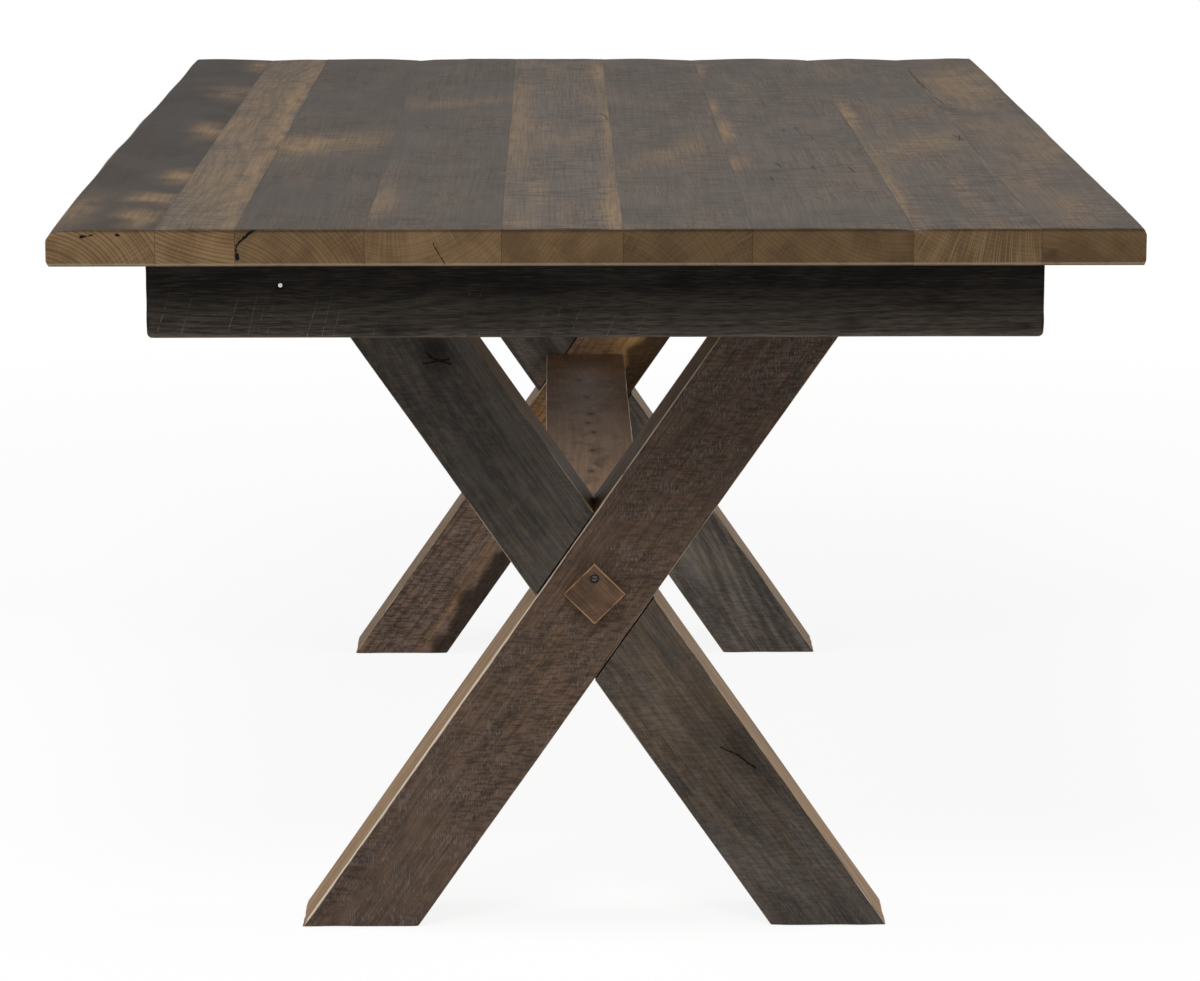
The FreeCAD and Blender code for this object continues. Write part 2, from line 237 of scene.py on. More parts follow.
def walk_round(across_steps, through_steps):
    """Points once round a rounded rectangle, clockwise from its upper left. Each point is a mix of the four
    corner centres plus the corner radius times an outward direction: a point on a flat mixes two centres,
    and a point on an arris turns about one. Along a flat the mix runs from 0 to 1 as
    0.5 + 0.5 * (1.5 * u - 0.5 * u ** 3) for u from -1 to 1, which crowds the points towards the arrises."""
    mixes, turns, flats = [], [], []
    for corner in range(4):
        steps = (across_steps, through_steps)[corner % 2]
        ahead = (corner + 1) % 4
        first = sum(map(len, mixes))
        even = np.linspace(-1, 1, steps)
        share = 0.5 + 0.5 * (1.5 * even - 0.5 * even ** 3)
        mix = np.zeros((steps + arris_steps - 1, 4))
        mix[:steps, corner] = 1 - share
        mix[:steps, ahead] = share
        mix[steps:, ahead] = 1
        square_out = np.pi / 2 * (1 - corner)
        turn = np.full(len(mix), square_out)
        turn[steps:] -= np.pi / 2 * np.arange(1, arris_steps) / arris_steps
        flats.append(slice(first, first + steps))
        mixes.append(mix)
        turns.append(turn)
    turn = np.concatenate(turns)
    return np.concatenate(mixes), np.stack([np.cos(turn), np.sin(turn)], -1), flats


# %% [markdown]
# Along the grain the section is repeated at stations. At both ends it draws in over a few close ones, so
# that the ends have rounded arrises too. The planks' wide ends get rings of points as well, which carry the
# marks of the front ends.

# %% Stations along the grain
cap_rings = 9
fewest_stations = 3


def eased_stations(start, end, spacing, ease, marks=(), cap=0.0):
    """Stations from start to end, with extra ones at the marks. The last few at each end follow a quarter
    circle of radius ease: at an angle a from the side to the tip they stand ease * (1 - sin a) from the
    end, and there the section shrinks by ease * (1 - cos a). With a cap, rings on the flat end shrink
    further, down to that depth. Returns the stations, the shrinks and the share that faces endwards."""
    angle = np.linspace(np.pi / 2, 0, arris_steps + 1)
    rings = np.linspace(cap, ease, cap_rings, endpoint=False) if cap else np.zeros(0)
    drop = np.concatenate([np.zeros(len(rings)), ease * (1 - np.sin(angle))])
    shrink = np.concatenate([rings, ease * (1 - np.cos(angle))])
    tip = np.concatenate([np.ones(len(rings)), np.sin(angle)])
    count = max(fewest_stations, round((end - start) / spacing))
    between = np.union1d(np.linspace(start + ease, end - ease, count)[1:-1], marks)
    flat = np.zeros(len(between))
    station = np.concatenate([start + drop, between, (end - drop)[::-1]])
    return station, np.concatenate([shrink, flat, shrink[::-1]]), np.concatenate([-tip, flat, tip[::-1]])


# %% [markdown]
# A length of timber carries the section along its stations. Old nail holes and bolt holes are real holes in
# its surface. A Boolean would cut them, but it leaves loose slivers, so cells of the grid are left out and
# their rim is drawn in to a circle instead.

# %% A length of timber
hole_lip = 0.0004
hole_margin = 1.3
# Painted shade in each hole: how dark its rim, its lip and its floor ring are painted
painted_hole_shade = (0.4, 0.8, 1.0)
least_reach = 0.0036
fullest_arris = 0.9


class Timber:
    """One length of timber as a closed surface. Its own axes are along the grain, across the face and
    through the thickness, in metres, and lay() turns them to the table's axes."""

    def __init__(self, stations, half_across, low, high, radii, steps, side_ease=(1, 1)):
        """Carries the rounded rectangle along the stations. It reaches half_across to both sides, from low
        to high through the thickness, and radii are those of its arrises, clockwise from the upper left.
        side_ease says how much of the shrink at the ends the left and the right side take."""
        station, shrink, tip = stations
        mix, outward, self.flats = walk_round(*steps)
        low, high = low + shrink, high - shrink
        middle, half_through = (low + high) / 2, (high - low) / 2
        radii = np.minimum(radii, fullest_arris * half_through[:, None])
        eased = np.array([side_ease[0], side_ease[1], side_ease[1], side_ease[0]])
        centre_across = corner_signs[:, 0] * (half_across - shrink[:, None] * eased - radii)
        centre_through = middle[:, None] + corner_signs[:, 1] * (half_through[:, None] - radii)
        mixed = np.stack([centre_across @ mix.T, centre_through @ mix.T], -1)
        sides = mixed + (radii @ mix.T)[..., None] * outward
        ends = np.broadcast_to(station[:, None, None], (*sides.shape[:2], 1))
        self.points = np.concatenate([ends, sides], -1)
        tips = np.broadcast_to(tip[:, None, None], ends.shape)
        self.facing = np.concatenate([tips, np.sqrt(1 - tips ** 2) * outward], -1)
        arris_reach = corner_signs * radii[..., None] * math.sqrt(0.5)
        arris_middle = np.stack([centre_across, centre_through], -1) + arris_reach
        to_arris = np.linalg.norm(sides[:, :, None] - arris_middle[:, None], axis=-1).min(-1)
        to_end = np.minimum(station - station[0], station[-1] - station)[:, None]
        self.arris = np.where(abs(tip[:, None]) < 1, np.minimum(to_arris, to_end), shrink[:, None])
        self.kept = np.ones((sides.shape[0] - 1, sides.shape[1]), bool)
        self.holes = []

    def uneven(self, depth, wavelength, seed, start=0.0):
        """A wear that wanders between 0 and twice the depth over the wood."""
        return depth * (1 + wander(self.points + (start, 0, 0), wavelength, seed))

    def wear(self, depth):
        """Moves every point inwards by a depth, against the direction that it faces."""
        self.points = self.points - depth[..., None] * self.facing

    def bore(self, face, along, sideways, radius, depth):
        """Opens a round hole in one flat, 0 to 3 clockwise from the upper one. The cells round the spot are
        left out, and their rim is kept for ring_holes()."""
        side, normal = (1, 2) if face % 2 == 0 else (2, 1)
        flat = self.flats[face]
        spot = np.array([along, sideways])
        plane = self.points[:, flat][:, :, [0, side]] - spot
        row, column = np.unravel_index((plane ** 2).sum(-1).argmin(), plane.shape[:2])
        reach = max(hole_margin * radius, least_reach)
        rows = np.flatnonzero(abs(plane[:, column, 0]) < reach)
        columns = np.flatnonzero(abs(plane[row, :, 1]) < reach) + flat.start
        first, last = rows[0] - 1, rows[-1] + 1
        near, far = columns[0] - 1, columns[-1] + 1
        self.kept[first:last, near:far] = False
        number = np.arange(self.arris.size).reshape(self.arris.shape)
        rim = np.concatenate([number[first, near:far], number[first:last, far],
                              number[last, far:near:-1], number[last:first:-1, near]])
        self.holes.append((rim, side, normal, spot, radius, depth))

    def ring_holes(self):
        """Carries each hole's rim in to a circle, where a rim point at angle a goes to the spot plus
        radius * (cos a, sin a), and straight down to a flat floor. Returns all points, the grid point that
        each came from, the painted shade that darkens the hole towards its floor, the faces between the rings
        and the floors."""
        points, facing = self.points.reshape(-1, 3), self.facing.reshape(-1, 3)
        source, dark = np.arange(len(points)), np.zeros(len(points))
        quads, floors = [], []
        for rim, side, normal, spot, radius, depth in self.holes:
            inward = -np.sign(facing[rim, normal]).mean()
            spoke = points[rim][:, [0, side]] - spot
            spoke = spoke / np.linalg.norm(spoke, axis=1, keepdims=True)
            outer = rim
            widths, drops = (radius + hole_lip, radius, radius), (0, hole_lip, depth)
            for width, drop, shade in zip(widths, drops, painted_hole_shade):
                circle = points[rim].copy()
                circle[:, [0, side]] = spot + width * spoke
                circle[:, normal] += inward * drop
                inner = len(points) + np.arange(len(rim))
                quads.append(np.stack([outer, inner, np.roll(inner, -1), np.roll(outer, -1)], -1))
                points = np.concatenate([points, circle])
                source = np.concatenate([source, rim])
                dark = np.concatenate([dark, np.full(len(rim), shade)])
                outer = inner
            floors.append(outer[::-1])
        return points, source, dark, quads, floors

    def lay(self, name, origin, axes, material, start, tone, pith, paint, plug=None):
        """Joins the grid's points to faces, closes both ends, turns everything to the table's axes and puts
        it into a mesh. Each point carries its place in the wood, the way it faces, its paint, the tone of
        the timber and where its pith lies. A plug is the material of the holes' floors."""
        number = np.arange(self.arris.size).reshape(self.arris.shape)
        ahead = np.roll(number, -1, axis=1)
        ring = np.stack([number[:-1], number[1:], ahead[1:], ahead[:-1]], -1)
        points, source, dark, quads, rounds = self.ring_holes()
        quads = np.concatenate([ring[self.kept], *quads])
        rounds = [number[0], number[-1, ::-1], *rounds]
        if np.linalg.det(axes) < 0:
            quads, rounds = quads[:, ::-1], [r[::-1] for r in rounds]
        pale, marks = paint(points)
        # The holes' painted shade goes in with the dark marks
        painted = np.stack([pale, np.maximum(marks, dark), self.arris.ravel()[source]], -1)
        sizes = np.array([4] * len(quads) + [len(r) for r in rounds])
        mesh = bpy.data.meshes.new(name)
        mesh.from_pydata(origin + points @ axes, [], [*quads.tolist(), *(r.tolist() for r in rounds)])
        mesh.polygons.foreach_set("use_smooth", sizes == 4)
        carried = {"grain": points + (start, 0, 0), "facing": self.facing.reshape(-1, 3)[source],
                   "paint": painted, "pith": np.array(pith), "tone": np.array(tone)}
        for label, values in carried.items():
            values = np.broadcast_to(values, points.shape).astype(np.float32)
            mesh.attributes.new(label, "FLOAT_VECTOR", "POINT").data.foreach_set("vector", values.ravel())
        mesh.materials.append(material)
        if plug:
            mesh.materials.append(plug)
            on_floor = np.arange(len(sizes)) >= len(sizes) - len(self.holes)
            mesh.polygons.foreach_set("material_index", on_floor)
        piece = bpy.data.objects.new(name, mesh)
        bpy.context.collection.objects.link(piece)
        print(name, len(points), "points", len(sizes), "faces")
        return piece


def straight_timber(half_run, half_across, half_through, cut):
    """A straight length of timber. Its cut is the distance of its stations, the rounding of its ends, the
    radii of its arrises and the points across and through it."""
    step, ease, radii, grid = cut
    stations = eased_stations(-half_run, half_run, step, ease)
    return Timber(stations, half_across, -half_through, half_through, radii, grid)


def dress(piece, node, body):
    """The piece stands for a CAD node, which it hides, and moves with its body."""
    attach(piece, body)
    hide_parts(node)


# %% [markdown]
# The wood is reclaimed oak, sawn, stained dark and waxed. Its look has four parts: growth rings that show
# as long lines on the faces and as arcs on the ends, fine fibres and pores along the grain, rows of marks
# that the saw left across it, and pale arrises where hands and feet rubbed the stain away. An image of wood
# would slide over the edges, so the pattern is solid: it is read from each point's own place in the wood.

# %% Clouds and coats
noise_middle = (0.5, 0.5, 0.5)


def clouds(tree, place, cell, edges, detail, strength=1.0):
    """Cloudy noise, stretched so that one cloud is about cell = (along, across, through) millimetres, and
    cut off softly between the two edges. Gives 0 to strength."""
    stretched = put(tree, "VectorMath", {0: place, 1: [1000 / size for size in cell]}, operation="MULTIPLY")
    cloud = put(tree, "TexNoise", {"Vector": stretched, "Scale": 1.0, "Detail": detail})
    return put(tree, "MapRange", {"Value": cloud, "From Min": edges[0], "From Max": edges[1],
                                  "To Max": strength}, interpolation_type="SMOOTHSTEP")


def coats(tree, ground, layers):
    """Colours laid over a ground in turn, where each hides its share of what is under it."""
    for share, colour in layers:
        ground = put(tree, "Mix", {0: share, 6: ground, 7: colour}, 2, data_type="RGBA")
    return ground


def shaken(tree, place, per_metre, shake_mm):
    """A place moved by noise, by up to about half of shake_mm each way. The noise takes per_metre steps a
    metre along, across and through the wood."""
    stepped = put(tree, "VectorMath", {0: place, 1: per_metre}, operation="MULTIPLY")
    cloud = put(tree, "TexNoise", {"Vector": stepped, "Scale": 1.0, "Detail": 1.0}, "Color")
    level_cloud = put(tree, "VectorMath", {0: cloud, 1: noise_middle}, operation="SUBTRACT")
    shake = put(tree, "VectorMath", {0: level_cloud, "Scale": shake_mm / 1000}, operation="SCALE")
    return put(tree, "VectorMath", {0: place, 1: shake}, operation="ADD")


# %% [markdown]
# A log grows a ring each year round its pith, and rays run out from the pith like spokes. Every board was
# sawn from some place in a log, so its rings and rays are worked out from a pith line that may lie outside
# the board.

# %% Rings and rays
sway_steps = (1.3, 4, 4)
ring_noise_steps = 120.0
ring_noise = 9.0
late_edges = (-0.3, 1.0)
rays_per_turn = 1300
rays_per_metre = 14
ray_cell = (2000 * math.pi / rays_per_turn, 1000 / rays_per_metre, 1000)
ray_cut = (0.50, 0.66), 1.0


def from_pith(tree, place, pith, sway_mm):
    """The way from the pith line, which wanders by about sway_mm, to a place, square to the grain."""
    swayed = shaken(tree, place, sway_steps, sway_mm)
    away = put(tree, "VectorMath", {0: swayed, 1: pith}, operation="SUBTRACT")
    return put(tree, "VectorMath", {0: away, 1: (0, 1, 1)}, operation="MULTIPLY")


def growth_rings(tree, away, ring_mm, strength):
    """The late wood of each year: sin(2 pi r / ring_mm) over the distance r from the pith, shaken a little
    by noise over r, and cut off softly. Gives 0 to strength."""
    radius = put(tree, "VectorMath", {0: away}, "Value", operation="LENGTH")
    noise = put(tree, "TexNoise", {"W": radius, "Scale": ring_noise_steps, "Detail": 2.0},
                noise_dimensions="1D")
    wide = put(tree, "Math", {0: radius, 1: 2 * math.pi * 1000 / ring_mm}, operation="MULTIPLY")
    phase = put(tree, "Math", {0: noise, 1: ring_noise, 2: wide}, operation="MULTIPLY_ADD")
    wave = put(tree, "Math", {0: phase}, operation="SINE")
    return put(tree, "MapRange", {"Value": wave, "From Min": late_edges[0], "From Max": late_edges[1],
                                  "To Max": strength}, interpolation_type="SMOOTHSTEP")


def rays(tree, away, strength):
    """Pale ray flecks of an end: clouds over the angle round the pith, many to a turn, and slowly over the
    distance from it. Gives 0 to strength."""
    radius = put(tree, "VectorMath", {0: away}, "Value", operation="LENGTH")
    sides = [put(tree, "SeparateXYZ", {0: away}, axis) for axis in "YZ"]
    angle = put(tree, "Math", {0: sides[0], 1: sides[1]}, operation="ARCTAN2")
    fan = put(tree, "CombineXYZ", {0: angle, 1: radius})
    return clouds(tree, fan, ray_cell, *ray_cut, strength)


# %% [markdown]
# Old timber is scratched across the grain and split along it. Both are thin lines, too thin to model on
# these grids, so they are worked out for every point that the camera sees.

# %% Scratches and splits
scratch_steps = (16, 1.2, 1.2)
scratch_noise = 22.0
scratch_edge = 0.06
split_steps = (120, 260, 260)
split_shake = 3


def scratches(tree, place, gap_mm, strength):
    """Thin straight lines square to the grain, on average gap_mm apart: the places where
    sin(pi x / gap_mm), shifted by noise along the grain, passes 0. Gives 0 to strength."""
    stretched = put(tree, "VectorMath", {0: place, 1: scratch_steps}, operation="MULTIPLY")
    cloud = put(tree, "TexNoise", {"Vector": stretched, "Scale": 1.0, "Detail": 1.0})
    along = put(tree, "SeparateXYZ", {0: place}, "X")
    even = put(tree, "Math", {0: along, 1: math.pi * 1000 / gap_mm}, operation="MULTIPLY")
    phase = put(tree, "Math", {0: cloud, 1: scratch_noise, 2: even}, operation="MULTIPLY_ADD")
    wave = put(tree, "Math", {0: phase}, operation="SINE")
    off = put(tree, "Math", {0: wave}, operation="ABSOLUTE")
    return put(tree, "MapRange", {"Value": off, "From Min": scratch_edge, "From Max": 0.0,
                                  "To Max": strength})


def splits(tree, place, lines):
    """Open splits: 1 near a line and 0 farther off than half its width. A line is its two ends and that
    half width, and the nearest spot on it is its start plus its run times the share of the run at which the
    place lies, from 0 to 1. The place is shaken first, which makes the splits ragged."""
    place = shaken(tree, place, split_steps, split_shake)
    share = 0.0
    for start, end, half_width in lines:
        run = Vector(end) - Vector(start)
        ahead = put(tree, "VectorMath", {0: place, 1: start}, operation="SUBTRACT")
        share_of_run = run / run.length_squared
        part = put(tree, "VectorMath", {0: ahead, 1: share_of_run}, "Value", operation="DOT_PRODUCT")
        part = put(tree, "MapRange", {"Value": part})
        nearest = put(tree, "VectorMath", {0: run, "Scale": part}, operation="SCALE")
        off = put(tree, "VectorMath", {0: ahead, 1: nearest}, "Value", operation="DISTANCE")
        line = put(tree, "MapRange", {"Value": off, "From Min": half_width, "From Max": half_width / 2})
        share = put(tree, "Math", {0: share, 1: line}, operation="MAXIMUM")
    return share


# %% [markdown]
# One function makes every finish of the oak. A timber's points carry what differs from one length to the
# next, such as how rubbed and how light it is, and a look holds what differs from one finish to the next.
# Pores, fibres and scratches are finer on real oak than a pixel here, so they are drawn coarser, just wide
# enough to show.

# %% Patterns that all the oak shares
# Cell in millimetres along, across and through the wood, soft edges and detail of the clouds, and strength
pore_dots = (13, 1.0, 1.0), (0.60, 0.74), 1.0
sawn_areas = (200, 80, 80), (0.34, 0.60), 3.0
scratch_areas = (130, 50, 50), (0.38, 0.56), 2.0
scratch_dashes = (4, 5, 5), (0.40, 0.56), 1.0
rubbed_clouds = (70, 26, 26), (0.18, 0.52), 4.0
side_bands = (160, 12, 12), (0.36, 0.66), 4.0, 0.75
side_fibres = (60, 1.6, 1.6), (0.42, 0.66), 1.0, 0.3
end_clouds = (40, 30, 30), (0.36, 0.64), 3.0
wear_cell = (50, 12, 12)
# Soft edges and detail of the patterns whose cells each look gives
band_cut = (0.36, 0.64), 4.0
patch_cut = (0.46, 0.70), 4.0
fibre_cut = (0.42, 0.66), 1.0
fleck_cut = (0.58, 0.70), 0.0
streak_detail = 3.0
saw_detail = 2.0
row_detail = 3.0
wear_detail = 4.0
# Where a surface turns to the side or to the end, as shares of facing that way
side_turn = (0.6, 0.95)
end_turn = (0.35, 0.8)
scratch_gap = 22
end_figure = 2.4
fleck_roughness = 0.15
relief_strength = 0.5


def wood_at_points(tree, look):
    """What each point of a timber carries, and the patterns that both colour and relief need, by name."""
    wood = SimpleNamespace()
    wood.grain, wood.facing, paint, tone, pith = (put(tree, "Attribute", {}, "Vector", attribute_name=label)
                                                  for label in ("grain", "facing", "paint", "tone", "pith"))
    wood.rubbed, wood.marked, wood.arris = (put(tree, "SeparateXYZ", {0: paint}, axis) for axis in "XYZ")
    tones = (put(tree, "SeparateXYZ", {0: tone}, axis) for axis in "XYZ")
    wood.lightness, wood.patchiness, wood.figure = tones
    wood.end_lightness = put(tree, "SeparateXYZ", {0: pith}, "X")
    wood.sawn_way = put(tree, "VectorRotate", {"Vector": wood.grain, "Angle": look.saw_turn},
                        rotation_type="Z_AXIS")
    wood.away = from_pith(tree, wood.grain, pith, look.sway)
    wood.fibres = clouds(tree, wood.grain, look.fibres, *fibre_cut, look.fibre)
    wood.pores = clouds(tree, wood.grain, *pore_dots, look.pore)
    unworn = put(tree, "Math", {0: 1.0, 1: wood.rubbed}, operation="SUBTRACT")
    sawn, fleck = (put(tree, "Math", {0: unworn, 1: strength}, operation="MULTIPLY")
                   for strength in (look.sawn, look.fleck))
    wood.sawn_area = clouds(tree, wood.grain, *sawn_areas, sawn)
    wood.fleck_area = clouds(tree, wood.sawn_way, look.fleck_rows, look.fleck_edges, row_detail, fleck)
    along = put(tree, "SeparateXYZ", {0: wood.grain}, "X")
    scratched = put(tree, "MapRange", {"Value": along, "From Min": look.scratched[0],
                                       "From Max": look.scratched[1], "To Max": look.scratch})
    scratch = put(tree, "Math", {0: wood.rubbed, 1: scratched}, operation="MULTIPLY")
    scratch_area = clouds(tree, wood.grain, *scratch_areas, scratch)
    wood.dashes = clouds(tree, wood.grain, *scratch_dashes, scratch_area)
    return wood


# %% Colours of the faces, sides and ends
def face_colour(tree, look, wood):
    """Stain in bands, streaks and pale patches, as light as the timber, and over it rubbed clouds, late
    wood, saw marks, fibres, pores, scratches and flecks."""
    stain = coats(tree, look.dark, (
        (clouds(tree, wood.grain, look.bands, *band_cut), look.mid),
        (clouds(tree, wood.grain, look.streaks, look.streak_edges, streak_detail, look.streak),
         look.streaky),
        (clouds(tree, wood.grain, look.patches, *patch_cut, wood.patchiness), look.pale)))
    stain = put(tree, "VectorMath", {0: stain, "Scale": wood.lightness}, operation="SCALE")
    return coats(tree, stain, (
        (clouds(tree, wood.grain, *rubbed_clouds, wood.rubbed), look.rubbed),
        (growth_rings(tree, wood.away, look.ring, wood.figure), look.late),
        (clouds(tree, wood.sawn_way, look.saw_marks, look.saw_edges, saw_detail, wood.sawn_area),
         look.late),
        (wood.fibres, look.late),
        (wood.pores, look.crack),
        (scratches(tree, wood.sawn_way, scratch_gap, wood.dashes), look.flecks),
        (clouds(tree, wood.sawn_way, look.fleck_cell, *fleck_cut, wood.fleck_area), look.flecks)))


def side_colour(tree, look, wood):
    """Planed sides: dark bands and fibres over one colour."""
    side = coats(tree, look.side, [(clouds(tree, wood.grain, *pattern), look.side_dark)
                                   for pattern in (side_bands, side_fibres)])
    return put(tree, "VectorMath", {0: side, "Scale": wood.end_lightness}, operation="SCALE")


def end_colour(tree, look, wood):
    """Sawn ends: clouds of a second colour, rings stronger than on the faces, and pale rays."""
    figure = put(tree, "Math", {0: wood.figure, 1: end_figure}, operation="MULTIPLY")
    end = coats(tree, look.end, ((clouds(tree, wood.grain, *end_clouds), look.end_mid),
                                 (growth_rings(tree, wood.away, look.ring, figure), look.end_dark),
                                 (rays(tree, wood.away, wood.rubbed), look.end_ray)))
    return put(tree, "VectorMath", {0: end, "Scale": wood.end_lightness}, operation="SCALE")


# %% Old oak
def old_oak(name, look, split_lines=()):
    """Sawn oak, stained and waxed. look holds its colours, the sizes of its patterns in millimetres and how
    strong each is, and split_lines are its splits, in metres along, across and through the wood."""
    material, tree, shader = bare_finish(name)
    look = SimpleNamespace(**look)
    wood = wood_at_points(tree, look)
    out = put(tree, "VectorMath", {0: wood.facing}, operation="ABSOLUTE")
    endwards, sideways = (put(tree, "SeparateXYZ", {0: out}, axis) for axis in "XY")
    planed = put(tree, "MapRange", {"Value": sideways, "From Min": side_turn[0], "From Max": side_turn[1],
                                    "To Max": look.planed})
    sawn_off = put(tree, "MapRange", {"Value": endwards, "From Min": end_turn[0], "From Max": end_turn[1]})
    wear_width = clouds(tree, wood.grain, wear_cell, look.wear_edges, wear_detail, look.wear_width / 1000)
    worn = put(tree, "MapRange", {"Value": wood.arris, "From Min": wear_width, "From Max": 0.0,
                                  "To Max": look.wear})
    whole = coats(tree, face_colour(tree, look, wood), (
        (planed, side_colour(tree, look, wood)), (sawn_off, end_colour(tree, look, wood)), (worn, look.worn),
        (wood.marked, look.crack), (splits(tree, wood.grain, split_lines), look.crack)))
    gloss = put(tree, "MapRange", {"Value": wood.fleck_area, "To Min": look.rough,
                                   "To Max": look.rough + fleck_roughness})
    grooves = put(tree, "Math", {0: wood.fibres, 1: wood.pores})
    relief = put(tree, "Math", {0: grooves, 1: -1.0, 2: wood.dashes}, operation="MULTIPLY_ADD")
    bump = put(tree, "Bump", {"Height": relief, "Strength": relief_strength, "Distance": look.relief / 1000})
    shader.inputs["Specular IOR Level"].default_value = look.specular
    for source, socket in ((whole, "Base Color"), (gloss, "Roughness"), (bump, "Normal")):
        tree.links.new(source, shader.inputs[socket])
    return material


# %% [markdown]
# The planks are grey-brown with tan clouds, and their ends are warm, with rings and rays. The aprons are
# stained almost black. Of the legs, two are brown and rough from the saw and two are greyer with long tan
# lines, all with planed sides that stayed pale. The stretcher is planed and waxed, and the bolt covers are
# reddish.

# %% Finishes of the oak
# Weathered planks: dull grey-brown, crossed by rows of saw marks
plank_look = dict(
    dark="#4d4640", mid="#5a5149", pale="#77614a", rubbed="#947856", late="#352e28", streaky="#3d362f",
    flecks="#1d1916", side="#5d4c3a", side_dark="#41352a", end="#6c553d", end_mid="#7e6548",
    end_dark="#4a3926", end_ray="#958163", worn="#a8917a", crack="#0f0c0a",
    bands=(150, 90, 60), patches=(260, 36, 60), streaks=(300, 8, 8), fibres=(120, 1.6, 1.6),
    sway=45, ring=4.0, saw_turn=0.0, saw_marks=(6, 28, 60), saw_edges=(0.45, 0.60), streak_edges=(0.4, 0.66),
    streak=0.25, fibre=0.36, pore=0.34, sawn=0.6, scratch=0.0, scratched=(0.1, -0.1), fleck=0.32,
    fleck_cell=(26, 2.6, 2.6), fleck_rows=(150, 80, 80), fleck_edges=(0.46, 0.62), planed=0.0, wear=0.85,
    wear_width=1.7, wear_edges=(0.0, 0.5), rough=0.62, specular=0.065, relief=0.2)
# Black stain on the aprons: nearly even, with short brown streaks and pale slanting scratches
apron_look = dict(
    plank_look, dark="#1a1a1a", mid="#2a2725", pale="#38302a", rubbed="#7e7368", late="#0a0908",
    streaky="#3f3831", flecks="#8a847c", fleck=0.0, end="#2a231c", end_mid="#332a21", end_dark="#1a1511",
    end_ray="#4a3d30", worn="#6b5a48", bands=(60, 12, 12), streaks=(24, 1.6, 1.6), fibres=(20, 1.2, 1.2),
    sway=70, ring=3.4, saw_turn=0.27, streak_edges=(0.48, 0.66), streak=0.6, fibre=0.5, sawn=0.0,
    scratch=3.0, wear=0.8, wear_width=1.1, wear_edges=(0.3, 0.66), specular=0.07, relief=0.4)
# Brown legs: rough slanting saw marks with dull grey flecks, and broken pale arrises, near white as wear with
# a painted highlight
leg_look = dict(
    plank_look, dark="#5c4c41", mid="#6a564a", pale="#7c6654", rubbed="#d6a15e", late="#2c2621",
    streaky="#3a2f27", flecks="#84848a", side="#907352", side_dark="#6a523a", end="#4b3a2c",
    end_mid="#57432f", worn="#d8c6b0", planed=0.92,
    bands=(30, 13, 13), patches=(16, 6, 6), streaks=(260, 6, 6), saw_turn=0.608,
    saw_marks=(2.6, 15, 15), saw_edges=(0.44, 0.60), streak=0.2, fibre=0.3, sawn=0.55, fleck=0.34,
    fleck_cell=(6, 1.1, 1.1), fleck_rows=(16, 60, 60), fleck_edges=(0.36, 0.62), wear_width=1.2,
    wear_edges=(0.36, 0.72), rough=0.55, specular=0.07, relief=0.4)
# Grey legs: the same timber with smoother faces, where long tan lines show between dark ones
grey_leg_look = dict(
    leg_look, dark="#42403e", mid="#5c5752", pale="#6d6155", late="#25201d", streaky="#705a43",
    bands=(90, 26, 26), streaks=(60, 1.8, 1.8), streak_edges=(0.46, 0.66), streak=0.38, fibre=0.24, sawn=0.3,
    fleck=0.1, ring=5.0, sway=80)
# Planed and waxed stretcher: even warm brown and slightly shiny; its pale colour is a painted sheen on the
# near end
stretcher_look = dict(
    leg_look, dark="#694f3b", mid="#7c614d", pale="#9c7b5c", rubbed="#f2caa8", late="#463629",
    streaky="#4e3c2a", planed=0.0, sawn=0.12, saw_turn=0.0, bands=(60, 40, 40), fleck=0.0, fibre=0.14,
    streak=0.1, wear=0.8, rough=0.5)
# Oiled covers: reddish, with light arrises and the soft shine of oil
cover_look = dict(
    plank_look, dark="#584231", mid="#6f5440", pale="#826046", late="#38251a", streaky="#3f2a1c",
    end="#5f4029", end_mid="#6b4a30", end_dark="#432d1c", end_ray="#83603c", worn="#c4966c",
    bands=(26, 9, 9), patches=(30, 8, 8), streaks=(40, 1.5, 1.5), fibres=(20, 0.9, 0.9), saw_turn=0.5,
    saw_marks=(2.4, 14, 14), sawn=0.35, streak=0.45, fibre=0.25, fleck=0.0, wear=0.9,
    wear_edges=(0.24, 0.66), ring=2.6, rough=0.55, specular=0.25)
apron_oak = old_oak("sawn_oak_stained_black", apron_look)
brown_oak = old_oak("sawn_oak_stained_brown", leg_look)
stretcher_oak = old_oak("planed_oak_waxed", stretcher_look)
cover_oak = old_oak("rubbed_oak_oiled", cover_look)
print("finishes", [m.name for m in bpy.data.materials])

# %% [markdown]
# Where the stain was rubbed through, tan patches show, and knots, checks and old nail holes are dark. They
# sit at certain spots of the real boards. An image could hold them, but strokes of a brush, in millimetres
# on the board, stay sharp and can be moved, and the noise in the finish breaks up their edges.

# %% Brush strokes
outline_shake = 0.4
outline_cells = 5
least_cell = 0.004
least_run = 1e-9


def brush(plane, strokes, seed, edge=1):
    """How strongly each point of a plane lies under any stroke. A stroke runs straight from one spot to
    another. With a the distance from its middle along it and b beside it, it gives
    strength * exp(-((a / half length) ** 2 + (b / half width) ** 2) ** edge).
    A higher edge makes its outline harder, and the outline wanders."""
    flat = np.column_stack([plane, np.zeros(len(plane))])
    share = np.zeros(len(plane))
    for start_x, start_y, end_x, end_y, half_width, strength in np.array(strokes).reshape(-1, 6):
        half_width = half_width / 1000
        middle = np.array([start_x + end_x, start_y + end_y]) / 2000
        half_run = np.array([end_x - start_x, end_y - start_y]) / 2000
        half_length = np.linalg.norm(half_run) + half_width
        ahead = half_run / max(np.linalg.norm(half_run), least_run)
        beside = np.array([-ahead[1], ahead[0]])
        shake = wander(flat, outline_cells * half_width + least_cell, seed)[:, None]
        from_middle = plane - middle + outline_shake * half_width * shake
        spread = (from_middle @ ahead / half_length) ** 2 + (from_middle @ beside / half_width) ** 2
        share = np.maximum(share, strength * np.exp(-spread ** edge))
    return share


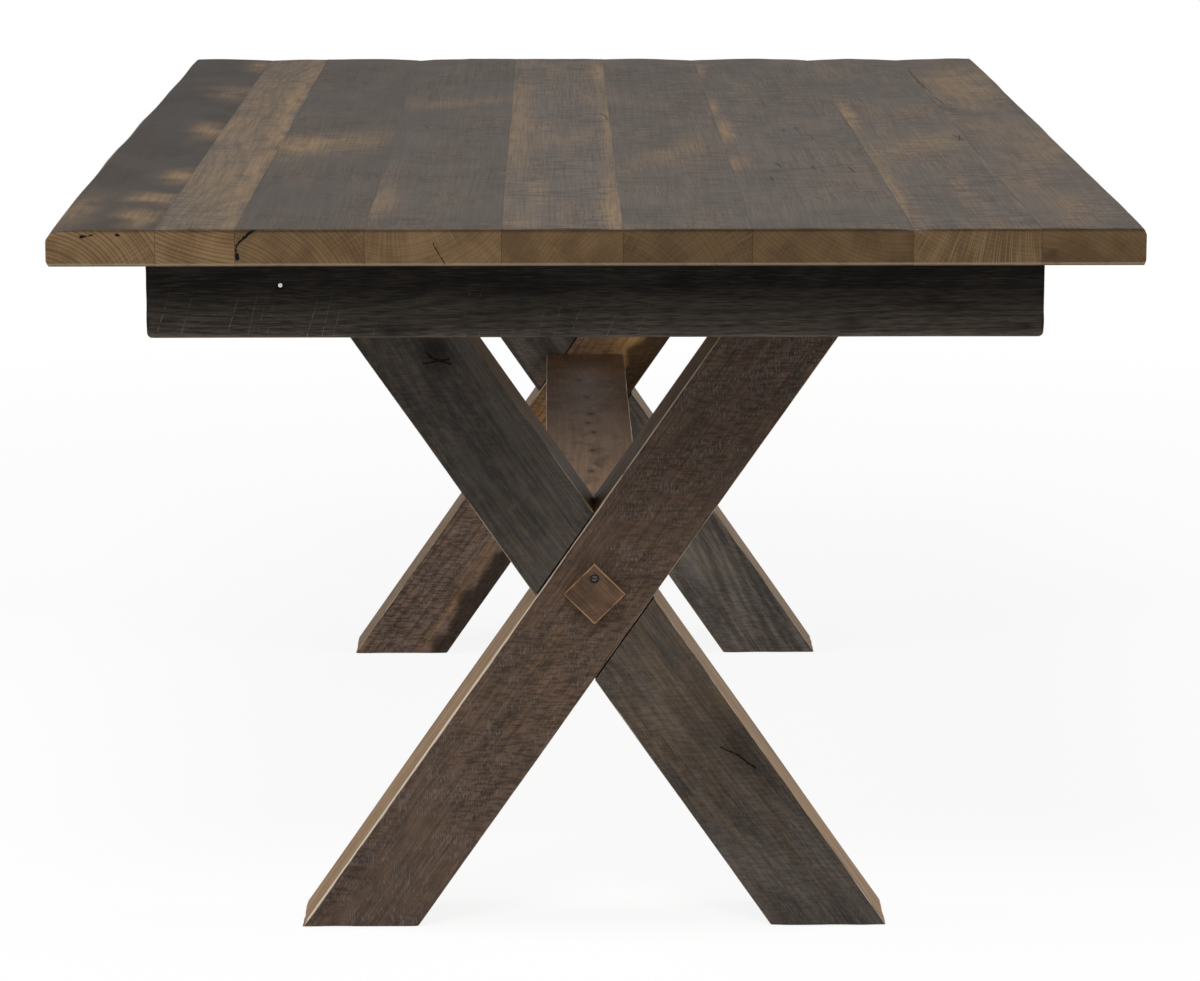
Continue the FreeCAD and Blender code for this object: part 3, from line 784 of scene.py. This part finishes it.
# %% [markdown]
# Nine planks lie edge to edge. They were planed once and have moved since: their ends sag a few millimetres
# at some joints, and the outer edges of the first and last plank are wavy, as hand tools and years leave
# them. Plain boxes would look new, so each plank's points are worn down after it is laid out, and it has
# its own tone, figure and place in the log.

# %% Sizes and tones of the planks
plank_count = 9
plank_step = 0.006
plank_grid = (34, 11)
plank_end_ease = 0.0026
end_core = 0.001
joint_ease = 0.08
upper_arrises = np.array([8.0] + [0.3] * 8 + [5.0]) / 1000
lower_arrises = np.array([5.0] + [0.3] * 8 + [4.0]) / 1000
back_sags = np.array([0.2, 2.4, 0.6, 2.6, 0.6, 0.8, 2.6, 3.0, 3.0, 0.4]) / 1000
front_sags = np.array([5.0, 1.0, 0.6, 0.5, 0.8, 1.4, 0.6, 2.4, 0.9, 1.6]) / 1000
plank_tones = (0.28, 1.02, 0.76, 0.9, 1.26, 1.06, 1.1, 1.15, 1.1)
plank_patchiness = (0.2, 0.6, 0.3, 0.12, 0.4, 0.2, 0.2, 0.35, 0.45)
plank_figures = (0.24, 0.24, 0.16, 0.10, 0.08, 0.10, 0.10, 0.10, 0.08)
end_rays = (0.3, 0.1, 0.2, 0.35, 0.15, 0.4, 0.2, 0.6, 0.1)
end_tones = (1.19, 1.28, 0.90, 1.0, 0.81, 0.64, 0.70, 0.86, 0.75)
pith_across = np.array([-60, 60, -90, -40, 140, -90, 60, 50, -60]) / 1000
pith_through = np.array([-70, 170, -90, 120, -110, -90, 150, 155, -140]) / 1000
# Each plank starts this far along the grain from the last, so that no two show the same pattern
plank_apart = 11.3
toward_camera = np.array([[0, -1, 0], [1, 0, 0], [0, 0, 1]])

# %% Strokes and splits of the planks
# Strokes on the planks: plank, from the front end, across from its middle, to the same, half width, strength
tan_strokes = (
    (1, 840, 42, 960, 32, 20, 0.7), (1, 400, 46, 480, 40, 18, 0.7), (1, 215, 46, 270, 20, 22, 0.65),
    (1, 40, 40, 150, 30, 22, 0.6), (1, 40, -40, 260, -30, 22, 0.45), (1, 1650, 46, 1800, 40, 16, 0.5),
    (1, 1270, 44, 1420, 30, 26, 0.4), (2, -300, 0, 2100, 0, 60, 0.4), (2, -200, 30, 2100, 22, 14, 0.75),
    (3, 680, -44, 800, -20, 40, 0.75), (3, 700, 0, 860, 46, 46, 0.4), (4, 90, -60, 360, -54, 13, 0.4),
    (4, 1190, -40, 1260, 50, 40, 0.3), (5, 500, -50, 1320, -46, 18, 0.4), (5, 1440, 54, 1800, 50, 10, 0.7),
    (5, 640, 56, 1300, 55, 8, 0.55), (5, -100, 54, 460, 52, 10, 0.6), (6, 560, -20, 760, 30, 30, 0.3),
    (7, 780, -74, 1000, -68, 9, 0.8), (7, 1080, -76, 1240, -73, 8, 0.6), (7, 1560, -77, 1800, -75, 9, 0.5),
    (7, 500, -73, 640, -66, 12, 0.4), (8, 900, -59, 1230, -55, 9, 0.8), (8, 40, -60, 560, -57, 7, 0.45),
    (8, 640, -20, 860, 30, 45, 0.35), (9, 1240, -10, 1660, 20, 46, 0.6), (9, 500, 10, 900, 30, 40, 0.3),
    (9, 40, -10, 260, 10, 46, 0.15))
dark_strokes = (
    (9, 1180, -47, 1090, -36, 9, 0.5), (9, 1065, -45, 1095, 25, 16, 0.3), (7, 470, -40, 500, -10, 9, 0.35),
    (7, 500, 4, 520, 20, 8, 0.4), (7, 520, 30, 545, 44, 6, 0.35), (3, 1020, -56, 1040, -52, 3, 0.5))
# Strokes on the front ends: plank, across and up from the middle, to the same, half width, strength
end_strokes = ((9, -44, -9, -40, -5, 6, 0.45), (5, 2, 16, 8, 17, 2.5, 0.5))
# Splits of the upper faces and of the front ends: as the strokes, without the strength
top_splits = (
    (9, 1650, -50.5, 1480, -49.5, 1.2), (9, 1480, -49.5, 1330, -46, 1.2), (9, 1290, -47, 1200, -43, 1.3),
    (8, 840, 51, 780, 58, 1.2), (8, 840, 58, 780, 52, 1.2), (5, 1090, 49, 1050, 55, 1.4),
    (5, 1050, 55, 1020, 55, 1.2), (4, 960, -34, 920, -30, 1.2), (7, 910, -2, 880, -2, 1.2),
    (7, 930, 13, 890, 14, 1.2), (7, 840, 26, 800, 27, 1.2), (7, 560, -28, 510, -24, 1.3),
    (7, 430, -40, 400, -39, 1.3), (7, 530, 9, 500, 11, 1.3), (7, 500, 17, 470, 20, 1.2),
    (7, 520, 49, 470, 52, 1.3))
end_splits = (
    (3, -42, 18.5, -53, 10, 2.0), (3, -53, 10, -61, 2, 1.5), (3, -61, 2, -61, -6, 1.0),
    (3, -60, -7, -60, -11, 2.4), (1, -17, 11, -15, 11, 2.2), (1, -14, 11, -6, 12, 1.0),
    (1, 17, 12, 19, 12, 1.9), (4, 0, 4, 11, -16, 0.7))
# Splits are drawn at the worn face, this far under the CAD one, in millimetres
worn_off = 0.4


def box_of(node):
    """The lowest and highest corner of a CAD node, the middle between them and half its size."""
    low, high = map(np.array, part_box(node))
    return SimpleNamespace(low=low, high=high, middle=(low + high) / 2, half=(high - low) / 2)


plank_half = box_of("top_plank_1").half
upper_face = 1000 * plank_half[2] - worn_off


def in_plank(plank, from_front, across, up):
    """A spot of a plank, given in millimetres, as a place in the wood."""
    return plank_apart * (plank - 1) + plank_half[1] - from_front / 1000, across / 1000, up / 1000


split_lines = [(in_plank(plank, x0, y0, upper_face), in_plank(plank, x1, y1, upper_face), width / 1000)
               for plank, x0, y0, x1, y1, width in top_splits]
split_lines += [(in_plank(plank, 0, y0, z0), in_plank(plank, 0, y1, z1), width / 1000)
                for plank, y0, z0, y1, z1, width in end_splits]
plank_oak = old_oak("sawn_oak_weathered_grey", plank_look, split_lines)
print(plank_oak.name, "with", len(split_lines), "splits")

# %% Wear and paint of a plank
face_wear = 0.0004, (0.5, 0.08, 0.1)
edge_wear = 0.003, (0.55, 9, 9)
sag_along = 0.09
sag_across = 0.03
most_sag = 0.006
pale_reach = 0.004
lower_line = 0.8
end_reach = 0.003
dirt_line = (0.0022, 0.0014, 0.7)
face_seed, tan_seed, edge_seed = 10, 30, 50


def wear_plank(plank, k, half):
    """Wears the upper face unevenly and the outer edge in waves. Then lowers the upper face at the ends by
    the sag of each joint times exp(-distance from end / sag_along - distance from joint / sag_across).
    Only the outer arrises and the lower edge of the ends stay marked as rubbed."""
    along, across, _ = np.moveaxis(plank.points, -1, 0)
    endwards, side, up = np.moveaxis(plank.facing, -1, 0)
    near_left, near_right = (np.exp(-(half[0] + way * across) / sag_across) for way in (1, -1))
    near_front, near_back = (np.exp(-(half[1] + way * along) / sag_along) for way in (-1, 1))
    sag = near_front * (front_sags[k] * near_left + front_sags[k + 1] * near_right)
    sag += near_back * (back_sags[k] * near_left + back_sags[k + 1] * near_right)
    outer_side = {0: -1, plank_count - 1: 1}.get(k, 0)
    outwards = np.clip(outer_side * side, 0, 1)
    start = plank_apart * k
    waves = plank.uneven(*edge_wear, edge_seed + k, start)
    plank.wear(np.clip(up, 0, 1) * plank.uneven(*face_wear, face_seed + k, start) + outwards * waves)
    height = (plank.points[..., 2] + half[2]) / (2 * half[2])
    plank.points[..., 2] -= np.clip(height, 0, 1) * np.minimum(sag, most_sag)
    on_arris = np.clip(2 * np.minimum(outwards, np.maximum(abs(endwards), abs(up))), 0, 1)
    outer_edge = np.where(outer_side * across > 0, pale_reach * (1 - on_arris), 1)
    lower_edge = abs(plank.points[..., 2] + half[2] - lower_line * plank_end_ease)
    plank.arris = np.where(abs(endwards) > 0.5, np.minimum(outer_edge, lower_edge), outer_edge)


def paint_plank(points, k, half):
    """Tan patches and dark marks of a plank, as seen from above, and on its front end the rays, marks and a
    line of dirt under the upper edge."""
    plan = np.column_stack([half[1] - points[:, 0], points[:, 1]])
    tan, dark, ends = ([s[1:] for s in strokes if s[0] == k + 1]
                       for strokes in (tan_strokes, dark_strokes, end_strokes))
    on_end = np.exp(-(plan[:, 0] / end_reach) ** 2)
    below_top = np.clip((points[:, 2] + half[2]) / half[2], 0, 1)
    drop, width, strength = dirt_line
    dirt = strength * np.exp(-((points[:, 2] - half[2] + drop) / width) ** 2)
    marks = np.maximum(brush(plan, dark, k), np.maximum(brush(points[:, 1:], ends, k), dirt) * on_end)
    return brush(plan, tan, tan_seed + k) * below_top * (1 - on_end) + end_rays[k] * on_end, marks


# %% Planks
for k in range(plank_count):
    node = "top_plank_%d" % (k + 1)
    box = box_of(node)
    half = box.half
    stations = eased_stations(-half[1], half[1], plank_step, plank_end_ease, cap=half[2] - end_core)
    radii = np.concatenate([upper_arrises[k:k + 2], lower_arrises[k:k + 2][::-1]])
    side_ease = [1 if k == 0 else joint_ease, 1 if k == plank_count - 1 else joint_ease]
    plank = Timber(stations, half[0], -half[2], half[2], radii, plank_grid, side_ease)
    wear_plank(plank, k, half)
    tone = plank_tones[k], plank_patchiness[k], plank_figures[k]
    pith = end_tones[k], pith_across[k], pith_through[k]
    piece = plank.lay("oak_plank_%d" % (k + 1), box.middle, toward_camera, plank_oak, plank_apart * k,
                      tone, pith, lambda points: paint_plank(points, k, half))
    dress(piece, node, "table")

# %% [markdown]
# The head of one old nail shines in the front apron, so its steel comes before the board. Steel and
# unfinished wood need no more than two colours and two roughnesses in clouds, read from Object coordinates.

# %% Plain finishes
plain_cut = (0.36, 0.64), 3.0
plain_bump = 0.3
plain_relief = 0.0002


def plain_finish(name, cell, dark, light, metallic, rough):
    """Two colours and two roughnesses mixed by clouds of cell millimetres, from Object coordinates."""
    material, tree, shader = bare_finish(name)
    share = clouds(tree, put(tree, "TexCoord", {}, "Object"), cell, *plain_cut)
    colour = coats(tree, dark, [(share, light)])
    gloss = put(tree, "MapRange", {"Value": share, "To Min": rough[0], "To Max": rough[1]})
    bump = put(tree, "Bump", {"Height": share, "Strength": plain_bump, "Distance": plain_relief})
    shader.inputs["Metallic"].default_value = metallic
    for source, socket in ((colour, "Base Color"), (gloss, "Roughness"), (bump, "Normal")):
        tree.links.new(source, shader.inputs[socket])
    return material


# Steel rubbed bright: a small white glint in the dark board
nail_steel = plain_finish("rubbed_steel", (1, 1, 1), "#c4c2bd", "#e4e2de", 1.0, (0.3, 0.45))

# %% [markdown]
# The apron is a frame of four boards on edge, mitred at the corners, with a rounded lower edge. A Boolean
# could cut the mitres, but it would break up the grid. Here each board's length is scaled by the depth into
# the board instead, which leans its ends over.

# %% Aprons
apron_faces = {"front": (0, -1, 0), "rear": (0, 1, 0), "left": (-1, 0, 0), "right": (1, 0, 0)}
apron_cut = 0.004, 0.0004, np.array([6, 1, 1, 1]) / 1000, (34, 8)
apron_wear = 0.0003, (0.4, 0.04, 0.04)
apron_seed = 70
apron_apart = 7.7
# Lightness, patchiness and strength of the rings, then lightness of the ends and where the pith lies
apron_tone = (1, 0.3, 0.3)
apron_pith = (1, 0.02, -0.07)
# Along and up from the middle, radius and depth
apron_nail = (-0.311, 0.011, 0.0022, 0.0008)
# Partly wear and partly painted light: paler towards the lower edge, darker under the top's overhang
apron_wear_and_light = 0.46
wear_and_light_start = 0.25
wear_and_light_least = -0.3


def paint_apron(points, half):
    """The board grows paler from its middle to its lower edge: partly wear, partly painted light, as the
    top's overhang shades its upper half.
    """
    lower = np.clip(-points[:, 1] / half[1], wear_and_light_least, 1)
    return apron_wear_and_light * (lower + wear_and_light_start), np.zeros(len(points))


for k, (end, outward) in enumerate(apron_faces.items()):
    box = box_of(end + "_apron")
    outward, up = np.array(outward, float), np.array([0, 0, 1.0])
    axes = np.array([np.cross(up, outward), up, outward])
    half = abs(axes @ box.half)
    apron = straight_timber(*half, apron_cut)
    apron.wear(apron.uneven(*apron_wear, apron_seed + k, apron_apart * k))
    apron.points[..., 0] *= 1 - (half[2] - apron.points[..., 2]) / half[0]
    if end == "front":
        apron.bore(0, *apron_nail)
    piece = apron.lay("oak_%s_apron" % end, box.middle, axes, apron_oak, apron_apart * k, apron_tone,
                      apron_pith, lambda points: paint_apron(points, half),
                      nail_steel if end == "front" else None)
    dress(piece, end + "_apron", "table")

# %% [markdown]
# The legs of each trestle cross at half their height and are lapped there, half of each cut away. Their
# ends are cut level with the floor and the top. So each leg is a square timber whose rows of points lean
# over: level at the ends, and along the other leg's edges at the lap.

# %% Sizes and marks of the legs
lean = math.radians(34.84)
arm = np.array([[math.sin(lean), 0, math.cos(lean)], [math.cos(lean), 0, -math.sin(lean)], [0, 1, 0]])
leg_sides = {"front_outer": (1, 1), "front_inner": (-1, 1), "rear_outer": (-1, -1), "rear_inner": (1, -1)}
leg_step = 0.003
leg_arris = 0.0016
leg_grid = (48, 26)
leg_wear = 0.0004, (0.3, 0.06, 0.06)
leg_seed = 80
leg_apart = 5.1
lap_gap = 0.0010
lap_wall = 0.00025
lap_touch = 0.0001
lap_margin = 0.02
level_run = 0.06
bolt_hole = (0, 0, 0.013, 0.020)
# How much wider the rubbed arris with its painted highlight is made
wear_and_highlight_width = 0.0019
face_power = 8
torn_edge = 8
# Splits of the knots in the front inner leg: along from the crossing, across, to the same, half width
knot_splits = ((299, 4, 288, -20, 1.4), (302, -4, 283, -18, 1.5), (308, -5, 297, -8, 1.3),
               (-206, -16, -221, -25, 1.0), (-221, -25, -245, -33, 1.4))
# Strokes on the faces toward the camera: along from the crossing, across, to the same, half width, strength
# The rear outer leg's long stroke and the faint broad one high on the front inner leg are painted shade,
# where the top shades the legs
knots_and_painted_shade = {"front_inner": ((300, -8, 322, -6, 20, 0.9), (-250, -32, -190, -24, 26, 0.5),
                                (150, 0, 430, 0, 70, 0.08)),
                "rear_outer": ((60, 0, 340, 0, 80, 0.5),)}
torn_strip = {"rear_inner": ((420, 42, -450, 44, 23, 0.78),)}
# The faint broad strokes below the crossing of the two front legs are painted light; the rear inner leg's
# strokes are its tan grain
tan_grain_and_painted_light = {"front_outer": ((-160, 0, 40, 0, 70, 0.05),), "front_inner": ((-70, 0, -210, 0, 70, 0.08),),
             "rear_inner": ((60, 0, 260, 0, 60, 0.9), (-120, -10, -30, -10, 40, 0.6),
                            (-215, 14, -400, 21, 4, 0.4))}
# A long arris of the front outer leg, rubbed pale and painted brighter as a highlight where it catches the
# light
wear_and_highlight_edge = ((200, -50, -600, -50, 8, 1.0),)

leg_half = box_of("front_inner_leg").half


def in_knotty_leg(along, across):
    """A spot on the front of the front inner leg, given in millimetres, as a place in the wood."""
    return leg_apart + along / 1000, across / 1000, worn_off / 1000 - leg_half[1]


split_lines = [(in_knotty_leg(x0, y0), in_knotty_leg(x1, y1), width / 1000)
               for x0, y0, x1, y1, width in knot_splits]
grey_oak = old_oak("sawn_oak_stained_grey", grey_leg_look, split_lines)
# Finish, lightness, patchiness, strength of the rings and lightness of the planed sides
# The rear legs are made lighter than the front legs of the same finish: painted light, for the light that
# reaches the rear trestle under the top
leg_finishes = {
    "front_outer": (brown_oak, 1.0, 0.35, 0.15, 0.92), "front_inner": (grey_oak, 1.0, 0.4, 0.2, 0.95),
    "rear_outer": (grey_oak, 1.75, 0.4, 0.3, 0.8), "rear_inner": (brown_oak, 1.57, 0.6, 0.3, 0.65)}
leg_pith = (0.04, -0.1)
print(grey_oak.name, "with", len(split_lines), "splits")


# %% Legs
def paint_leg(points, place, k, half):
    """Tan grain, knots and the torn strip of a leg, on the face toward the camera, with painted light low on
    the front legs and painted shade high on them and on the rear outer leg.
    """
    seen = np.clip(-leg_sides[place][1] * points[:, 2] / half[1], 0, 1) ** face_power
    tan, dark, torn = (brush(points[:, :2], strokes.get(place, ()), k, edge) * seen
                       for strokes, edge in ((tan_grain_and_painted_light, 1), (knots_and_painted_shade, 1), (torn_strip, torn_edge)))
    return tan, np.maximum(dark, torn)


def lean_rows(leg, notch, half_run):
    """Shifts each row along the grain by a slope times the place across. The slope is -1 / tan(2 * lean) at
    the lap, tan(lean) at the ends, and eases from one to the other as s * s * (3 - 2 * s)."""
    lap_end, level_start = notch + lap_margin, half_run - level_run
    share = np.clip((abs(leg.points[..., 0]) - lap_end) / (level_start - lap_end), 0, 1)
    share = share * share * (3 - 2 * share)
    slope = share * (math.tan(lean) + 1 / math.tan(2 * lean)) - 1 / math.tan(2 * lean)
    leg.points[..., 0] += slope * leg.points[..., 1]


for k, (place, (flip_x, flip_y)) in enumerate(leg_sides.items()):
    box = box_of(place + "_leg")
    box.middle[0] = 0
    half = box.half
    half_width = (half[0] - half[2] * math.tan(lean)) * math.cos(lean)
    half_run = half[2] / math.cos(lean)
    notch = (half_width + lap_gap) / math.sin(2 * lean)
    marks = [-notch - lap_wall, -notch + lap_wall, notch - lap_wall, notch + lap_wall]
    stations = eased_stations(-half_run, half_run, leg_step, leg_arris, marks)
    lapped = abs(stations[0]) < notch
    outer = place.endswith("outer")
    low_face = np.where(lapped & (not outer), lap_touch, -half[1])
    high_face = np.where(lapped & outer, -lap_touch, half[1])
    leg = Timber(stations, half_width, low_face, high_face, np.full(4, leg_arris), leg_grid)
    leg.wear(leg.uneven(*leg_wear, leg_seed + k, leg_apart * k))
    lean_rows(leg, notch, half_run)
    if outer:
        leg.bore(2, *bolt_hole)
    # Wear and a painted highlight: this arris is widened so that it shows the near-white arris colour
    if place == "front_outer":
        wear_and_highlight = brush(leg.points[..., :2].reshape(-1, 2), wear_and_highlight_edge, k).reshape(leg.arris.shape)
        leg.arris -= wear_and_highlight_width * wear_and_highlight * (leg.points[..., 2] < 0)
    finish, lightness, patchiness, rings, side_tone = leg_finishes[place]
    piece = leg.lay("oak_%s_leg" % place, box.middle, arm * (flip_x, flip_y, 1), finish, leg_apart * k,
                    (lightness, patchiness, rings), (side_tone, *leg_pith),
                    lambda points: paint_leg(points, place, k, half))
    dress(piece, place + "_leg", "table")

# %% [markdown]
# The stretcher is a square timber between the two crossings. Its upper face was planed and waxed, and a row
# of old nail holes runs along it. Below, two holes take the barrel nuts of the bolts that hold it. Dark dots
# in the finish could stand for the holes, but real ones keep their depth from every side.

# %% Stretcher
stretcher_cut = 0.004, 0.0006, np.full(4, 0.0018), (36, 24)
stretcher_seed = 90
stretcher_start = 3.3
stretcher_tone = (1, 0.3, 0.14)
stretcher_pith = (1, 0.02, -0.03)
nut_clearance = 0.0002
# Nail holes: across and along from the middle, in millimetres
nail_holes = ((-9, 383), (0, 252), (4, 127), (-1, 63), (6, 1), (3, -120), (1, -253))
nail_radius = 0.0017
nail_depth = 0.005
rust_reach = 10
rust_half_width = 4.0
rust_strength = 0.8
rust_seed = 5
# Painted sheen: from the middle it grows paler towards the near end, less on the sides than on the upper face
painted_sheen_middle = 0.35
painted_sheen_rise = 1.1
painted_sheen_side = 0.3


def paint_stretcher(points, half):
    """A painted sheen makes the near end paler than the far one, most on the upper face, and rust has
    stained the wood round each nail hole.
    """
    rust = [(-y - rust_reach, x, -y + rust_reach, x, rust_half_width, rust_strength) for x, y in nail_holes]
    near = np.clip(painted_sheen_middle + painted_sheen_rise * points[:, 0] / half[1], 0, 1)
    on_top = np.clip(points[:, 2] / half[2], 0, 1) ** face_power
    pale = near * (painted_sheen_side + (1 - painted_sheen_side) * on_top)
    return pale, brush(points[:, :2], rust, rust_seed) * (points[:, 2] > 0)


box, nuts = box_of("stretcher"), box_of("barrel_nuts")
half = box.half
half[1] = -box_of("front_outer_leg").high[1]
box.middle[1] = 0
stretcher = straight_timber(half[1], half[0], half[2], stretcher_cut)
stretcher.wear(stretcher.uneven(*leg_wear, stretcher_seed))
nut_radius = nuts.half[0]
for end in (-1, 1):
    stretcher.bore(2, end * (nuts.high[1] - nut_radius), 0, nut_radius + nut_clearance,
                   nuts.high[2] - box.low[2])
for x, y in nail_holes:
    stretcher.bore(0, -y / 1000, x / 1000, nail_radius, nail_depth)
piece = stretcher.lay("oak_stretcher", box.middle, toward_camera, stretcher_oak, stretcher_start,
                      stretcher_tone, stretcher_pith, lambda points: paint_stretcher(points, half))
dress(piece, "stretcher", "table")

# %% [markdown]
# A small square of wood, stood on its corner, hides the bolt at each crossing. It hangs on one screw near
# its upper corner, so it can be swung aside. A turned cube would do for its shape, but as a short length of
# timber it has grain along one edge and end grain on two others.

# %% Bolt covers
cover_cut = 0.0018, 0.0012, np.array([1.2, 1.2, 0.6, 0.6]) / 1000, (26, 7)
cover_apart = 2.2
cover_tone = (1, 0.3, 0.2)
cover_pith = (1, 0.1, -0.06)
recess_clearance = 0.0003
recess_depth = 0.005
diagonal = np.array([[1, 0, -1], [1, 0, 1], [0, -math.sqrt(2), 0]]) / math.sqrt(2)
screws = box_of("cover_screws")
for k, (end, flip) in enumerate({"front": 1, "rear": -1}.items()):
    box = box_of(end + "_bolt_cover")
    half_side = box.half[0] / math.sqrt(2)
    rise = (screws.middle[2] - box.middle[2]) / math.sqrt(2)
    cover = straight_timber(half_side, half_side, box.half[1], cover_cut)
    cover.bore(0, -rise, rise, screws.half[2] + recess_clearance, recess_depth)
    piece = cover.lay("oak_%s_bolt_cover" % end, box.middle, diagonal * (flip, flip, 1), cover_oak,
                      cover_apart * k, cover_tone, cover_pith, lambda points: np.zeros((2, len(points))))
    dress(piece, end + "_bolt_cover", end + "_cover")

# %% [markdown]
# What holds the table together was drawn in CAD in its final shape, so those solids stay and only get
# finishes: plain sawn wood for the bearers, blocks and splines, black oxide on the screws, and zinc on the
# bolts and clips. Their meshes have no grain of their own, so the patterns read the place in the table.

# %% Finishes of the CAD parts
# Sawn wood is dull and streaked, black oxide dark with a dim shine, and zinc plating pale grey and cloudy
cad_finishes = {
    "inner_wood": plain_finish("sawn_wood_unfinished", (80, 6, 3), "#6b5640", "#8d7354", 0.0, (0.6, 0.75)),
    "screw_steel": plain_finish("black_oxide_steel", (1.5, 1.5, 1.5), "#2f2d2b", "#625f5b", 0.6,
                                (0.35, 0.5)),
    "bolt_steel": plain_finish("zinc_plated_steel", (2, 2, 2), "#8b8a86", "#b5b3ad", 1.0, (0.3, 0.42))}
replaced = {node for node, shape in frame["nodes"].items() if shape.hide_render}
for part in frame["record"]["subparts"]:
    if part["node"] not in replaced:
        shape = frame["nodes"][part["node"]]
        shape.data.materials.clear()
        shape.data.materials.append(cad_finishes[part["material_slot"]])
        print(part["node"], "in", shape.data.materials[0].name)
